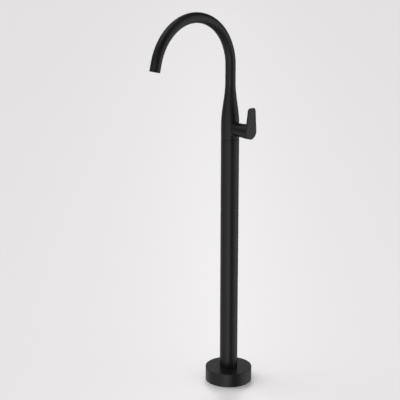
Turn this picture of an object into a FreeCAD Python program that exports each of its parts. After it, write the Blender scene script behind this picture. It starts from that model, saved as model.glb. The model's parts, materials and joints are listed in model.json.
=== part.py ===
"""Floor standing bath filler: a 50 mm column that ends in a gooseneck spout, with a single lever mixer.

Frame: origin on the floor at the column's axis, +Z up. The spout points to -Y and the mixer nozzle to +X.
All sizes are in millimetres.
"""
import FreeCAD
import Part
import math
import os

V = FreeCAD.Vector

# ---- riser column -------------------------------------------------------------------------------------
COLUMN_RADIUS = 25.0
COLUMN_WALL = 2.0
COLUMN_TOP = 696.0

# ---- base plate on the floor --------------------------------------------------------------------------
PLATE_INSET = 5.8
PLATE_THICKNESS = 8.0
PLATE_EDGE = 1.5
BOLT_COUNT = 4
BOLT_INSET = 11.0
BOLT_HOLE_RADIUS = 4.5
SOCKET_WALL = 8.0
SOCKET_HEIGHT = 20.0
BASE_SCREW_COUNT = 3
BASE_SCREW_RADIUS = 3.0
BASE_SCREW_RISE = 11.0

# ---- floor cover --------------------------------------------------------------------------------------
COVER_RADIUS = 65.8
COVER_HEIGHT = 38.7
COVER_WALL = 2.0
COVER_EDGE = 1.2
COVER_COLLAR_WALL = 5.0
COVER_SEAL_HEIGHT = 3.5
COVER_SEAL_WIDTH = 2.5
COVER_SEAL_LIP = 1.2

# ---- water connections and hoses ----------------------------------------------------------------------
HOSE_OFFSET = 10.5
HOSE_RADIUS = 5.5
HOSE_BORE = 4.0
UNION_SPIGOT_RADIUS = 9.6
UNION_SHOULDER_RADIUS = 10.2
UNION_SHOULDER_HEIGHT = 5.0
UNION_INLET_RADIUS = 7.5
UNION_INLET_DEPTH = 10.0
UNION_THREAD_RADIUS = 7.2
UNION_THREAD_HEIGHT = 9.0
WASHER_THICKNESS = 1.2
TAIL_FLANGE_HEIGHT = 2.0
BARB_LENGTH = 22.0
BARB_WATERWAY = 2.7
HOSE_NUT_ACROSS_FLATS = 17.0
HOSE_NUT_HEIGHT = 14.0
HOSE_NUT_LID = 4.0
FERRULE_WALL = 1.0
FERRULE_LENGTH = 20.0
FERRULE_ROLL = 1.0
NIPPLE_THREAD_RADIUS = 4.55
NIPPLE_THREAD_LENGTH = 9.0
NIPPLE_HEX_ACROSS_FLATS = 11.0
NIPPLE_HEX_HEIGHT = 6.5

# ---- swivel at the top of the column ------------------------------------------------------------------
BUSH_INSERT = 24.0
BUSH_FLANGE_HEIGHT = 7.0
BUSH_FLANGE_LOWER_EDGE = 0.4
BUSH_FLANGE_UPPER_EDGE = 1.0
SHADOW_GROOVE_HEIGHT = 0.7
SHADOW_GROOVE_DEPTH = 0.8
GLIDE_RING_THICKNESS = 1.0
SPIGOT_RADIUS = 18.0
SWIVEL_CLEARANCE = 0.06
SWIVEL_LIMIT = 60.0
DAMPING_RING_SECTION = 1.3
DAMPING_RING_SIDE_COUNT = 12
STOP_PIN_RADIUS = 1.5
STOP_GROOVE_DEPTH = 1.8
THRUST_WASHER_THICKNESS = 1.2
RETAINING_RING_THICKNESS = 1.6
RETAINING_GROOVE_DEPTH = 1.5
SPIGOT_END_LAND = 7.1

# ---- mixer body ---------------------------------------------------------------------------------------
NOZZLE_RISE = 27.9
TAPER_RISE = 36.3
TAPER_HEIGHT = 120.0
TAPER_STEPS = 8
NECK_STRAIGHT = 7.0
NOZZLE_ROOT_RADIUS = 18.0
NOZZLE_END_RADIUS = 19.6
NOZZLE_BLEND = 5.0
INLET_PASSAGE_RADIUS = 3.6
WATERWAY_RADIUS = 9.5
MIXED_PASSAGE_RADIUS = 5.0
PASSAGE_WALL = 3.2

# ---- gooseneck spout ----------------------------------------------------------------------------------
SPOUT_RADIUS = 14.0
SPOUT_WALL = 1.5
SPOUT_STRAIGHT = 35.5
ARC_RADIUS = 137.5
ARC_SWEEP = 165.4
SPOUT_TIP = 23.4
SPOUT_SOCKET = 16.0
AERATOR_RECESS = 0.8
AERATOR_LENGTH = 14.0
AERATOR_WALL = 2.0
AERATOR_LIP = 1.0
AERATOR_WASHER = 1.5
STRAIGHTENER_THICKNESS = 5.0
CELL_ACROSS_FLATS = 3.0
CELL_WALL = 0.6

# ---- ceramic cartridge --------------------------------------------------------------------------------
CARTRIDGE_RADIUS = 12.9
CARTRIDGE_WALL = 1.85
POCKET_FLOOR = 16.0
GASKET_THICKNESS = 0.8
CARTRIDGE_BASE_THICKNESS = 4.2
FIXED_DISC_RADIUS = 10.6
FIXED_DISC_THICKNESS = 3.5
MOVING_DISC_RADIUS = 8.9
MOVING_DISC_THICKNESS = 4.0
MIXING_POCKET_DEPTH = 2.2
MIXING_POCKET_RIM = 1.0
PORT_SIDE = 4.6
PORT_RISE = 2.2
PORT_RADIUS = 2.2
MIXED_PORT_DROP = 5.0
MIXED_PORT_RADIUS = 2.6
PORT_SEAL_LAND = 0.6
DRIVER_HALF_WIDTH = 6.0
DRIVER_HALF_LENGTH = 6.2
DRIVER_HEIGHT = 9.3
COLLAR_FLOOR = 30.0
CARTRIDGE_LENGTH = 38.8
CARTRIDGE_LID = 1.8
CARTRIDGE_MOUTH = 8.2
CARTRIDGE_FLANGE_RADIUS = 14.6
CARTRIDGE_FLANGE_THICKNESS = 2.5
NUT_RADIUS = 15.9
NUT_HEIGHT = 4.2
NUT_NOTCHES = 4
NUT_NOTCH_WIDTH = 3.0
NUT_NOTCH_DEPTH = 1.5

# ---- lever, spindle and dome --------------------------------------------------------------------------
PIVOT_X = 48.0
TILT_LIMIT = 20.0
SPINDLE_ARM = 12.0
BALL_RADIUS = 2.9
SPINDLE_NECK_RADIUS = 1.9
NECK_BITE = 1.0
SPINDLE_EYE_RADIUS = 4.6
SPINDLE_HALF_WIDTH = 4.0
SPINDLE_RADIUS = 4.0
SPINDLE_SQUARE = 5.6
PIVOT_PIN_RADIUS = 2.0
PIVOT_PIN_HALF_LENGTH = 9.5
COLLAR_SLOT_HALF_HEIGHT = 7.2
DOME_RADIUS = 23.0
DOME_WALL = 2.0
DOME_SKIRT = 1.3
DOME_BASE = 58.5
LEVER_GAP = 0.4
HUB_RADIUS = 20.1
HUB_FACE = 78.5
HUB_BOSS_RADIUS = 5.6
HUB_BOSS_DEPTH = 8.4
HUB_FRONT_WALL = 2.6
LEVER_HEIGHT = 65.4
LEVER_TOP_HALF_WIDTH = 14.0
LEVER_CORNER = 9.0
LEVER_THICKNESS = 4.0
LEVER_LEAN = 2.0
LEVER_EDGE = 0.6
LEVER_SCREW_RADIUS = 2.0
LEVER_SCREW_LENGTH = 8.0
LEVER_PLUG_LENGTH = 2.0

# ---- clearances ---------------------------------------------------------------------------------------
CLOSE_FIT = 0.05
SEAT_GAP = 0.1
SLIDE_GAP = 0.4
THREAD_GAP = 0.05
DISC_FILM = 0.05
BALL_PLAY = 0.1
TILT_MARGIN = 1.2

# ---- heights and places that follow from the sizes above ----------------------------------------------
column_bore = COLUMN_RADIUS - COLUMN_WALL
plate_radius = COVER_RADIUS - COVER_WALL - PLATE_INSET
bolt_circle_radius = plate_radius - BOLT_INSET
socket_top = PLATE_THICKNESS + SOCKET_HEIGHT
socket_radius = COLUMN_RADIUS + CLOSE_FIT + SOCKET_WALL
bush_bottom = COLUMN_TOP - BUSH_INSERT
bush_flange_bottom = COLUMN_TOP + SHADOW_GROOVE_HEIGHT
bush_top = bush_flange_bottom + BUSH_FLANGE_HEIGHT
body_bottom = bush_top + GLIDE_RING_THICKNESS
bush_bore = SPIGOT_RADIUS + SWIVEL_CLEARANCE
washer_bottom = bush_bottom - SEAT_GAP - THRUST_WASHER_THICKNESS
ring_bottom = washer_bottom - RETAINING_RING_THICKNESS
spigot_bottom = ring_bottom - SPIGOT_END_LAND
nozzle_z = body_bottom + NOZZLE_RISE
taper_start = body_bottom + TAPER_RISE
taper_end = taper_start + TAPER_HEIGHT
neck_top = taper_end + NECK_STRAIGHT
arc_z = neck_top + SPOUT_STRAIGHT
spout_bore = SPOUT_RADIUS - SPOUT_WALL
pocket_radius = CARTRIDGE_RADIUS + SEAT_GAP
base_x = POCKET_FLOOR + GASKET_THICKNESS
fixed_disc_x = base_x + CARTRIDGE_BASE_THICKNESS
moving_disc_x = fixed_disc_x + FIXED_DISC_THICKNESS + DISC_FILM
driver_x = moving_disc_x + MOVING_DISC_THICKNESS
cartridge_bore = CARTRIDGE_RADIUS - CARTRIDGE_WALL
cartridge_end = POCKET_FLOOR + CARTRIDGE_LENGTH
flange_x = cartridge_end - CARTRIDGE_LID - CARTRIDGE_FLANGE_THICKNESS
nut_x = cartridge_end - CARTRIDGE_LID
disc_travel = SPINDLE_ARM * math.sin(math.radians(TILT_LIMIT))
disc_z = nozzle_z - disc_travel / 2
hub_sphere = DOME_RADIUS + LEVER_GAP
pivot = V(PIVOT_X, 0, nozzle_z)


# ---- helpers ------------------------------------------------------------------------------------------
def polygon_face(points):
    """Flat face bounded by straight lines through the points."""
    return Part.Face(Part.makePolygon(points + [points[0]]))


def turned_z(profile):
    """Solid of revolution about the column's axis from (radius, height) pairs."""
    face = polygon_face([V(radius, 0, height) for radius, height in profile])
    return face.revolve(V(0, 0, 0), V(0, 0, 1), 360)


def turned_x(profile):
    """Solid of revolution about the nozzle's axis from (distance from the column, radius) pairs."""
    face = polygon_face([V(along, 0, nozzle_z + radius) for along, radius in profile])
    return face.revolve(V(0, 0, nozzle_z), V(1, 0, 0), 360)


def tube_z(outer, inner, bottom, top, x=0.0, y=0.0):
    """Upright ring, or a plain cylinder when the inner radius is nought."""
    ring = Part.makeCylinder(outer, top - bottom, V(x, y, bottom))
    if inner:
        ring = ring.cut(Part.makeCylinder(inner, top - bottom, V(x, y, bottom)))
    return ring


def rod_x(radius, start, end, y=0.0, rise=0.0):
    """Cylinder along the nozzle, between two distances from the column's axis."""
    return Part.makeCylinder(radius, end - start, V(start, y, nozzle_z + rise), V(1, 0, 0))


def rod_between(radius, start, end):
    """Cylinder from one point to another."""
    run = end - start
    return Part.makeCylinder(radius, run.Length, start, run)


def hexagon(across_flats, bottom, height, x=0.0, y=0.0):
    """Upright hexagonal prism with two flats facing along Y."""
    corner = across_flats / math.sqrt(3)
    points = []
    for step in range(6):
        angle = math.radians(60 * step)
        points.append(V(x + corner * math.cos(angle), y + corner * math.sin(angle), bottom))
    return polygon_face(points).extrude(V(0, 0, height))


def box_about(centre, size):
    """Box with its middle at a point."""
    return Part.makeBox(size[0], size[1], size[2], centre - V(size[0], size[1], size[2]) / 2)


def o_ring(centre_radius, section, height, side_count):
    """Rubber ring about the column's axis, its round section drawn with straight sides."""
    profile = []
    for index in range(side_count):
        angle = 2 * math.pi * index / side_count
        profile.append((centre_radius + section * math.cos(angle), height + section * math.sin(angle)))
    return turned_z(profile)


def both_sides(make):
    """The hot and the cold copy of a piece, as two solids of one node."""
    return Part.makeCompound([make(HOSE_OFFSET), make(-HOSE_OFFSET)])


def edges_at_height(shape, height):
    """Edges that lie wholly at one height."""
    found = []
    for edge in shape.Edges:
        if abs(edge.BoundBox.ZMin - height) < 1e-6 and abs(edge.BoundBox.ZMax - height) < 1e-6:
            found.append(edge)
    return found


def outer_edge_at_height(shape, height, radius):
    """The round edges of one radius at one height."""
    return [edge for edge in edges_at_height(shape, height) if abs(edge.BoundBox.XMax - radius) < 1e-6]


# ---- base ---------------------------------------------------------------------------------------------
def base_screw_axes():
    """Directions of the grub screws round the socket."""
    for index in range(BASE_SCREW_COUNT):
        angle = math.radians(90 + 360 * index / BASE_SCREW_COUNT)
        yield V(math.cos(angle), math.sin(angle), 0)


def base_screw_height():
    return PLATE_THICKNESS + BASE_SCREW_RISE


def floor_base_plate():
    """Turned plate bolted to the floor, with a socket that the column stands in."""
    plate = tube_z(plate_radius, 0, 0, PLATE_THICKNESS)
    plate = plate.makeChamfer(PLATE_EDGE, outer_edge_at_height(plate, PLATE_THICKNESS, plate_radius))
    plate = plate.fuse(tube_z(socket_radius, 0, 0, socket_top))
    plate = plate.cut(tube_z(COLUMN_RADIUS + CLOSE_FIT, 0, PLATE_THICKNESS, socket_top))
    for index in range(BOLT_COUNT):
        angle = math.radians(45 + 360 * index / BOLT_COUNT)
        x = bolt_circle_radius * math.cos(angle)
        y = bolt_circle_radius * math.sin(angle)
        plate = plate.cut(tube_z(BOLT_HOLE_RADIUS, 0, 0, PLATE_THICKNESS, x, y))
    for side in (HOSE_OFFSET, -HOSE_OFFSET):
        plate = plate.cut(tube_z(UNION_SPIGOT_RADIUS + CLOSE_FIT, 0, 0, PLATE_THICKNESS, 0, side))
    for axis in base_screw_axes():
        start = V(0, 0, base_screw_height()) + axis * COLUMN_RADIUS
        plate = plate.cut(Part.makeCylinder(BASE_SCREW_RADIUS + THREAD_GAP, 2 * SOCKET_WALL, start, axis))
    return plate


def base_grub_screws():
    """Grub screws that clamp the column in its socket."""
    screws = []
    for axis in base_screw_axes():
        start = V(0, 0, base_screw_height()) + axis * (COLUMN_RADIUS + SEAT_GAP)
        screw = Part.makeCylinder(BASE_SCREW_RADIUS, SOCKET_WALL - SEAT_GAP, start, axis)
        key = hexagon(BASE_SCREW_RADIUS, 0, SOCKET_WALL)
        key.Placement = FreeCAD.Placement(start + axis * SOCKET_WALL / 2, FreeCAD.Rotation(V(0, 0, 1), axis))
        screws.append(screw.cut(key))
    return Part.makeCompound(screws)


def riser_column():
    """Straight tube from the base socket up to the swivel."""
    return tube_z(COLUMN_RADIUS, column_bore, PLATE_THICKNESS, COLUMN_TOP)


# ---- floor cover --------------------------------------------------------------------------------------
def cover_seal_bottom():
    return COVER_HEIGHT - COVER_WALL - COVER_SEAL_LIP - COVER_SEAL_HEIGHT


def floor_cover():
    """Low drum that hides the base plate: a spun shell with a collar round the column."""
    cover = tube_z(COVER_RADIUS, 0, 0, COVER_HEIGHT)
    cover = cover.makeFillet(COVER_EDGE, outer_edge_at_height(cover, COVER_HEIGHT, COVER_RADIUS))
    opening = COLUMN_RADIUS + SLIDE_GAP
    collar_bottom = cover_seal_bottom() - COVER_SEAL_LIP
    hollow = tube_z(COVER_RADIUS - COVER_WALL, 0, 0, COVER_HEIGHT - COVER_WALL)
    hollow = hollow.cut(tube_z(opening + COVER_COLLAR_WALL, 0, collar_bottom, COVER_HEIGHT))
    cover = cover.cut(hollow)
    cover = cover.cut(tube_z(opening, 0, 0, COVER_HEIGHT))
    groove_top = cover_seal_bottom() + COVER_SEAL_HEIGHT
    return cover.cut(tube_z(opening + COVER_SEAL_WIDTH, 0, cover_seal_bottom(), groove_top))


def cover_seal():
    """Rubber ring in the cover's collar, which wipes the column."""
    outer = COLUMN_RADIUS + SLIDE_GAP + COVER_SEAL_WIDTH
    bottom = cover_seal_bottom()
    top = bottom + COVER_SEAL_HEIGHT
    middle = (bottom + top) / 2
    inner = COLUMN_RADIUS + SLIDE_GAP / 2
    relief = inner + COVER_SEAL_WIDTH / 3
    profile = [(relief, bottom), (outer, bottom), (outer, top), (relief, top), (inner, middle)]
    return turned_z(profile)


# ---- water connections --------------------------------------------------------------------------------
union_thread_bottom = PLATE_THICKNESS + UNION_SHOULDER_HEIGHT
union_top = union_thread_bottom + UNION_THREAD_HEIGHT
tail_bottom = union_top + WASHER_THICKNESS
tail_flange_top = tail_bottom + TAIL_FLANGE_HEIGHT
hose_nut_top = tail_flange_top + SEAT_GAP + HOSE_NUT_LID
hose_bottom = hose_nut_top + SEAT_GAP
hose_top = spigot_bottom - NIPPLE_HEX_HEIGHT - SEAT_GAP


def inlet_union(side):
    """Connector in the base plate: inner thread for the floor pipe, outer thread for the hose nut."""
    body = tube_z(UNION_SPIGOT_RADIUS, 0, 0, PLATE_THICKNESS, 0, side)
    body = body.fuse(tube_z(UNION_SHOULDER_RADIUS, 0, PLATE_THICKNESS, union_thread_bottom, 0, side))
    body = body.fuse(tube_z(UNION_THREAD_RADIUS, 0, union_thread_bottom, union_top, 0, side))
    body = body.cut(tube_z(UNION_INLET_RADIUS, 0, 0, UNION_INLET_DEPTH, 0, side))
    return body.cut(tube_z(HOSE_BORE, 0, 0, union_top, 0, side))


def hose_washer(side):
    """Rubber washer between the union and the hose tail."""
    return tube_z(UNION_THREAD_RADIUS - SEAT_GAP, HOSE_BORE, union_top, tail_bottom, 0, side)


def hose_tail(side):
    """Lower end fitting of a hose: a flange under the nut and a stem inside the hose."""
    tail = tube_z(UNION_THREAD_RADIUS - SEAT_GAP, 0, tail_bottom, tail_flange_top, 0, side)
    tail = tail.fuse(tube_z(HOSE_BORE - SEAT_GAP, 0, tail_flange_top, hose_bottom + BARB_LENGTH, 0, side))
    return tail.cut(tube_z(BARB_WATERWAY, 0, tail_bottom, hose_bottom + BARB_LENGTH, 0, side))


def hose_nut(side):
    """Hexagonal nut that draws the hose tail onto the union."""
    nut = hexagon(HOSE_NUT_ACROSS_FLATS, hose_nut_top - HOSE_NUT_HEIGHT, HOSE_NUT_HEIGHT, 0, side)
    thread_top = hose_nut_top - HOSE_NUT_LID
    nut = nut.cut(tube_z(UNION_THREAD_RADIUS + THREAD_GAP, 0, 0, thread_top, 0, side))
    return nut.cut(tube_z(HOSE_BORE, 0, thread_top, hose_nut_top, 0, side))


def ferrule(side, bottom):
    """Crimped sleeve round a hose end, with its rolled ends drawn in to the hose."""
    inner = HOSE_RADIUS + CLOSE_FIT
    outer = inner + FERRULE_WALL
    top = bottom + FERRULE_LENGTH
    waist = outer - FERRULE_WALL / 3
    third = FERRULE_LENGTH / 3
    profile = [(inner, bottom), (waist, bottom), (outer, bottom + FERRULE_ROLL), (outer, bottom + third)]
    profile += [(waist, bottom + FERRULE_LENGTH / 2), (outer, top - third), (outer, top - FERRULE_ROLL)]
    profile += [(waist, top), (inner, top)]
    sleeve = turned_z(profile)
    sleeve.translate(V(0, side, 0))
    return sleeve


def lower_ferrule(side):
    return ferrule(side, hose_bottom + CLOSE_FIT)


def upper_ferrule(side):
    return ferrule(side, hose_top - CLOSE_FIT - FERRULE_LENGTH)


def supply_hose(side):
    """Flexible hose that runs straight up inside the column."""
    return tube_z(HOSE_RADIUS, HOSE_BORE, hose_bottom, hose_top, 0, side)


def hose_nipple(side):
    """Upper end fitting of a hose, screwed into the foot of the mixer body."""
    hex_bottom = spigot_bottom - NIPPLE_HEX_HEIGHT
    stem_bottom = hose_top - BARB_LENGTH
    nipple = hexagon(NIPPLE_HEX_ACROSS_FLATS, hex_bottom, NIPPLE_HEX_HEIGHT, 0, side)
    thread_top = spigot_bottom + NIPPLE_THREAD_LENGTH
    nipple = nipple.fuse(tube_z(NIPPLE_THREAD_RADIUS, 0, spigot_bottom, thread_top, 0, side))
    nipple = nipple.fuse(tube_z(HOSE_BORE - SEAT_GAP, 0, stem_bottom, hex_bottom, 0, side))
    return nipple.cut(tube_z(BARB_WATERWAY, 0, stem_bottom, thread_top, 0, side))


# ---- swivel -------------------------------------------------------------------------------------------
def swivel_heights():
    """Heights of the upper damping ring, the stop pin and the lower damping ring on the spigot."""
    span = bush_top - bush_bottom
    return bush_top - span / 6, bush_top - span / 2, bush_bottom + span / 6


def swivel_bush():
    """Bush bonded in the column: its flange is the fine ring that shows under the mixer body."""
    groove_radius = COLUMN_RADIUS - SHADOW_GROOVE_DEPTH
    lower_edge = BUSH_FLANGE_LOWER_EDGE
    upper_edge = BUSH_FLANGE_UPPER_EDGE
    profile = [(bush_bore, bush_bottom), (column_bore - CLOSE_FIT, bush_bottom)]
    profile += [(column_bore - CLOSE_FIT, COLUMN_TOP), (groove_radius, COLUMN_TOP)]
    profile += [(groove_radius, bush_flange_bottom), (COLUMN_RADIUS - lower_edge, bush_flange_bottom)]
    profile += [(COLUMN_RADIUS, bush_flange_bottom + lower_edge), (COLUMN_RADIUS, bush_top - upper_edge)]
    profile += [(COLUMN_RADIUS - upper_edge, bush_top), (bush_bore, bush_top)]
    bush = turned_z(profile)
    height = swivel_heights()[1]
    hole = Part.makeCylinder(STOP_PIN_RADIUS + CLOSE_FIT, COLUMN_RADIUS, V(0, 0, height), V(0, 1, 0))
    return bush.cut(hole.common(tube_z(column_bore, 0, bush_bottom, bush_top)))


def swivel_stop_pin():
    """Pin through the bush that runs in the spigot's groove and limits the swivel."""
    height = swivel_heights()[1]
    start = SPIGOT_RADIUS - STOP_GROOVE_DEPTH + SEAT_GAP
    length = column_bore - CLOSE_FIT - SEAT_GAP - start
    return Part.makeCylinder(STOP_PIN_RADIUS, length, V(0, start, height), V(0, 1, 0))


def glide_ring():
    """Low friction ring that the mixer body turns on."""
    outer = COLUMN_RADIUS - SHADOW_GROOVE_DEPTH
    return tube_z(outer, bush_bore, bush_top, body_bottom)


def damping_rings():
    """Two rubber rings on the spigot that give the swivel its drag."""
    upper, _, lower = swivel_heights()
    section = DAMPING_RING_SECTION
    centre = SPIGOT_RADIUS - section
    rings = [o_ring(centre, section, height, DAMPING_RING_SIDE_COUNT) for height in (upper, lower)]
    return Part.makeCompound(rings)


def thrust_washer():
    """Washer under the bush, held by the retaining ring."""
    outer = column_bore - SLIDE_GAP - SEAT_GAP
    return tube_z(outer, SPIGOT_RADIUS + CLOSE_FIT, washer_bottom, washer_bottom + THRUST_WASHER_THICKNESS)


def retaining_ring():
    """Open spring ring in the spigot's lowest groove."""
    inner = SPIGOT_RADIUS - RETAINING_GROOVE_DEPTH + CLOSE_FIT
    outer = SPIGOT_RADIUS + RETAINING_GROOVE_DEPTH
    ring = tube_z(outer, inner, ring_bottom, washer_bottom)
    mouth = Part.makeBox(2 * STOP_PIN_RADIUS, 2 * outer, 2 * RETAINING_RING_THICKNESS)
    mouth.translate(V(-STOP_PIN_RADIUS, 0, ring_bottom - RETAINING_RING_THICKNESS / 2))
    return ring.cut(mouth)


# ---- mixer body ---------------------------------------------------------------------------------------
def taper_radius(share):
    """Radius of the body where it narrows to the neck: half a cosine wave."""
    return SPOUT_RADIUS + (COLUMN_RADIUS - SPOUT_RADIUS) * (1 + math.cos(math.pi * share)) / 2


def body_shell():
    """Outer shape of the body: column width at the foot, drawn in smoothly to the spout's width."""
    taper_points = []
    for index in range(TAPER_STEPS + 1):
        share = index / TAPER_STEPS
        taper_points.append(V(taper_radius(share), 0, taper_start + TAPER_HEIGHT * share))
    taper = Part.BSplineCurve()
    taper.interpolate(Points=taper_points, InitialTangent=V(0, 0, 1), FinalTangent=V(0, 0, 1))
    foot = V(COLUMN_RADIUS, 0, body_bottom)
    edges = [
        Part.LineSegment(V(0, 0, body_bottom), foot).toShape(),
        Part.LineSegment(foot, taper_points[0]).toShape(),
        taper.toShape(),
        Part.LineSegment(taper_points[-1], V(SPOUT_RADIUS, 0, neck_top)).toShape(),
        Part.LineSegment(V(SPOUT_RADIUS, 0, neck_top), V(0, 0, neck_top)).toShape(),
        Part.LineSegment(V(0, 0, neck_top), V(0, 0, body_bottom)).toShape(),
    ]
    return Part.Face(Part.Wire(edges)).revolve(V(0, 0, 0), V(0, 0, 1), 360)


def nozzle_blank():
    """Solid nozzle that flares a little towards the lever."""
    profile = [(0, 0), (0, NOZZLE_ROOT_RADIUS), (COLUMN_RADIUS, NOZZLE_ROOT_RADIUS)]
    profile += [(DOME_BASE, NOZZLE_END_RADIUS), (DOME_BASE, 0)]
    return turned_x(profile)


def blend_edges(shape):
    """Edges where the nozzle meets the body."""
    found = []
    for edge in shape.Edges:
        box = edge.BoundBox
        near = box.XMin > 1 and box.XMax < COLUMN_RADIUS + 1
        within = box.ZMin > nozzle_z - NOZZLE_END_RADIUS and box.ZMax < nozzle_z + NOZZLE_END_RADIUS
        if near and within and box.DiagonalLength > 1:
            found.append(edge)
    return found


def spigot():
    """Foot of the body inside the column, with its grooves."""
    upper, stop, lower = swivel_heights()
    foot = tube_z(SPIGOT_RADIUS, 0, spigot_bottom, body_bottom)
    ring_depth = 2 * DAMPING_RING_SECTION + CLOSE_FIT
    half_groove = DAMPING_RING_SECTION + SEAT_GAP
    for height in (upper, lower):
        inner = SPIGOT_RADIUS - ring_depth
        foot = foot.cut(tube_z(COLUMN_RADIUS, inner, height - half_groove, height + half_groove))
    inner = SPIGOT_RADIUS - RETAINING_GROOVE_DEPTH
    foot = foot.cut(tube_z(COLUMN_RADIUS, inner, ring_bottom, washer_bottom))
    half_slot = STOP_PIN_RADIUS + SEAT_GAP
    slot = tube_z(COLUMN_RADIUS, SPIGOT_RADIUS - STOP_GROOVE_DEPTH, stop - half_slot, stop + half_slot)
    pin_angle = math.degrees(math.asin(half_slot / (SPIGOT_RADIUS - STOP_GROOVE_DEPTH)))
    reach = SWIVEL_LIMIT + pin_angle
    sector_foot = V(0, 0, stop - 2 * half_slot)
    sector = Part.makeCylinder(2 * COLUMN_RADIUS, 4 * half_slot, sector_foot, V(0, 0, 1), 2 * reach)
    sector.rotate(V(0, 0, 0), V(0, 0, 1), 90 - reach)
    return foot.cut(slot.common(sector))


def port_rods(start, end):
    """The hot, cold and mixed ports as rods along the nozzle."""
    hot = rod_x(PORT_RADIUS, start, end, PORT_SIDE, PORT_RISE)
    cold = rod_x(PORT_RADIUS, start, end, -PORT_SIDE, PORT_RISE)
    mixed = rod_x(MIXED_PORT_RADIUS, start, end, 0, -MIXED_PORT_DROP)
    return Part.makeCompound([hot, cold, mixed])


def passages():
    """Waterways: hot and cold up to the cartridge, mixed water back and up to the spout."""
    top = nozzle_z + PORT_RISE + PORT_RADIUS
    ways = []
    for sign in (1, -1):
        side = sign * HOSE_OFFSET
        ways.append(tube_z(INLET_PASSAGE_RADIUS, 0, spigot_bottom, top, 0, side))
        thread_top = spigot_bottom + NIPPLE_THREAD_LENGTH + SEAT_GAP
        ways.append(tube_z(NIPPLE_THREAD_RADIUS + THREAD_GAP, 0, spigot_bottom, thread_top, 0, side))
        seat = V(POCKET_FLOOR, sign * PORT_SIDE, nozzle_z + PORT_RISE)
        ways.append(rod_between(PORT_RADIUS, V(0, side, nozzle_z + PORT_RISE), seat))
    mixed_bottom = nozzle_z - MIXED_PORT_DROP - MIXED_PORT_RADIUS
    waterway_bottom = top + PASSAGE_WALL
    ways.append(tube_z(MIXED_PASSAGE_RADIUS, 0, mixed_bottom, waterway_bottom))
    ways.append(rod_x(MIXED_PORT_RADIUS, 0, POCKET_FLOOR, 0, -MIXED_PORT_DROP))
    ways.append(tube_z(WATERWAY_RADIUS, 0, waterway_bottom, neck_top + SPOUT_SOCKET))
    return ways


def mixer_body():
    """Cast body: the swelling at the top of the column, its nozzle and its waterways."""
    body = body_shell().fuse(nozzle_blank())
    body = body.makeFillet(NOZZLE_BLEND, blend_edges(body))
    body = body.fuse(spigot())
    body = body.fuse(tube_z(spout_bore - CLOSE_FIT, 0, neck_top, neck_top + SPOUT_SOCKET))
    body = body.cut(rod_x(pocket_radius, POCKET_FLOOR, DOME_BASE))
    body = body.cut(rod_x(NUT_RADIUS + THREAD_GAP, flange_x, DOME_BASE))
    for way in passages():
        body = body.cut(way)
    return body


# ---- spout --------------------------------------------------------------------------------------------
def along_spout(radius):
    """Solid bar of one radius along the spout: up, over the arch and down the straight tip."""
    start = V(0, 0, neck_top)
    centre = V(0, -ARC_RADIUS, arc_z)
    upright = Part.makeCylinder(radius, SPOUT_STRAIGHT, start)
    disc = Part.Face(Part.Wire(Part.makeCircle(radius, V(0, 0, arc_z), V(0, 0, 1))))
    arch = disc.revolve(centre, V(1, 0, 0), ARC_SWEEP)
    tip = Part.makeCylinder(radius, SPOUT_TIP, arch_end(), tip_direction())
    return upright.fuse([arch, tip]).removeSplitter()


def tip_direction():
    sweep = math.radians(ARC_SWEEP)
    return V(0, -math.sin(sweep), math.cos(sweep))


def arch_end():
    sweep = math.radians(ARC_SWEEP)
    return V(0, -ARC_RADIUS * (1 - math.cos(sweep)), arc_z + ARC_RADIUS * math.sin(sweep))


def at_outlet(shape):
    """Moves a piece that was made upwards from the origin to the outlet, pointing into the spout."""
    outlet = arch_end() + tip_direction() * SPOUT_TIP
    shape.Placement = FreeCAD.Placement(outlet, FreeCAD.Rotation(V(0, 0, 1), tip_direction() * -1))
    return shape


def spout_tube():
    """Bent tube, brazed over the neck of the body."""
    return along_spout(SPOUT_RADIUS).cut(along_spout(spout_bore))


def aerator_housing():
    """Sleeve in the mouth of the spout with a lip that holds the flow straightener."""
    outer = spout_bore - CLOSE_FIT
    inner = outer - AERATOR_WALL
    bottom = AERATOR_RECESS
    top = bottom + AERATOR_LENGTH
    lip = inner - AERATOR_LIP
    profile = [(lip, bottom), (outer, bottom), (outer, top), (inner, top)]
    profile += [(inner, bottom + AERATOR_LIP), (lip, bottom + AERATOR_LIP)]
    return at_outlet(turned_z(profile))


def flow_straightener():
    """Disc of hexagonal cells that calms the stream."""
    radius = spout_bore - CLOSE_FIT - AERATOR_WALL - CLOSE_FIT
    bottom = AERATOR_RECESS + AERATOR_LIP
    disc = tube_z(radius, 0, bottom, bottom + STRAIGHTENER_THICKNESS)
    pitch = CELL_ACROSS_FLATS + CELL_WALL
    corner = CELL_ACROSS_FLATS / math.sqrt(3)
    rings = int((radius - corner - CELL_WALL) / pitch)
    cells = []
    for row in range(-rings, rings + 1):
        for place in range(-rings, rings + 1):
            if abs(row + place) <= rings:
                x = pitch * row * math.sqrt(3) / 2
                y = pitch * (place + row / 2)
                cells.append(hexagon(CELL_ACROSS_FLATS, bottom, STRAIGHTENER_THICKNESS, x, y))
    return at_outlet(disc.cut(Part.makeCompound(cells)))


def aerator_washer():
    """Rubber washer behind the aerator."""
    outer = spout_bore - SEAT_GAP
    bottom = AERATOR_RECESS + AERATOR_LENGTH
    return at_outlet(tube_z(outer, outer - AERATOR_WALL, bottom, bottom + AERATOR_WASHER))


# ---- cartridge ----------------------------------------------------------------------------------------
def cartridge_gasket():
    """Thin rubber gasket that seals the ports to the pocket's floor."""
    return rod_x(CARTRIDGE_RADIUS - SEAT_GAP, POCKET_FLOOR, base_x).cut(port_rods(POCKET_FLOOR, base_x))


def cartridge_base():
    """Ported base of the cartridge."""
    return rod_x(CARTRIDGE_RADIUS - SEAT_GAP, base_x, fixed_disc_x).cut(port_rods(base_x, fixed_disc_x))


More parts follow.
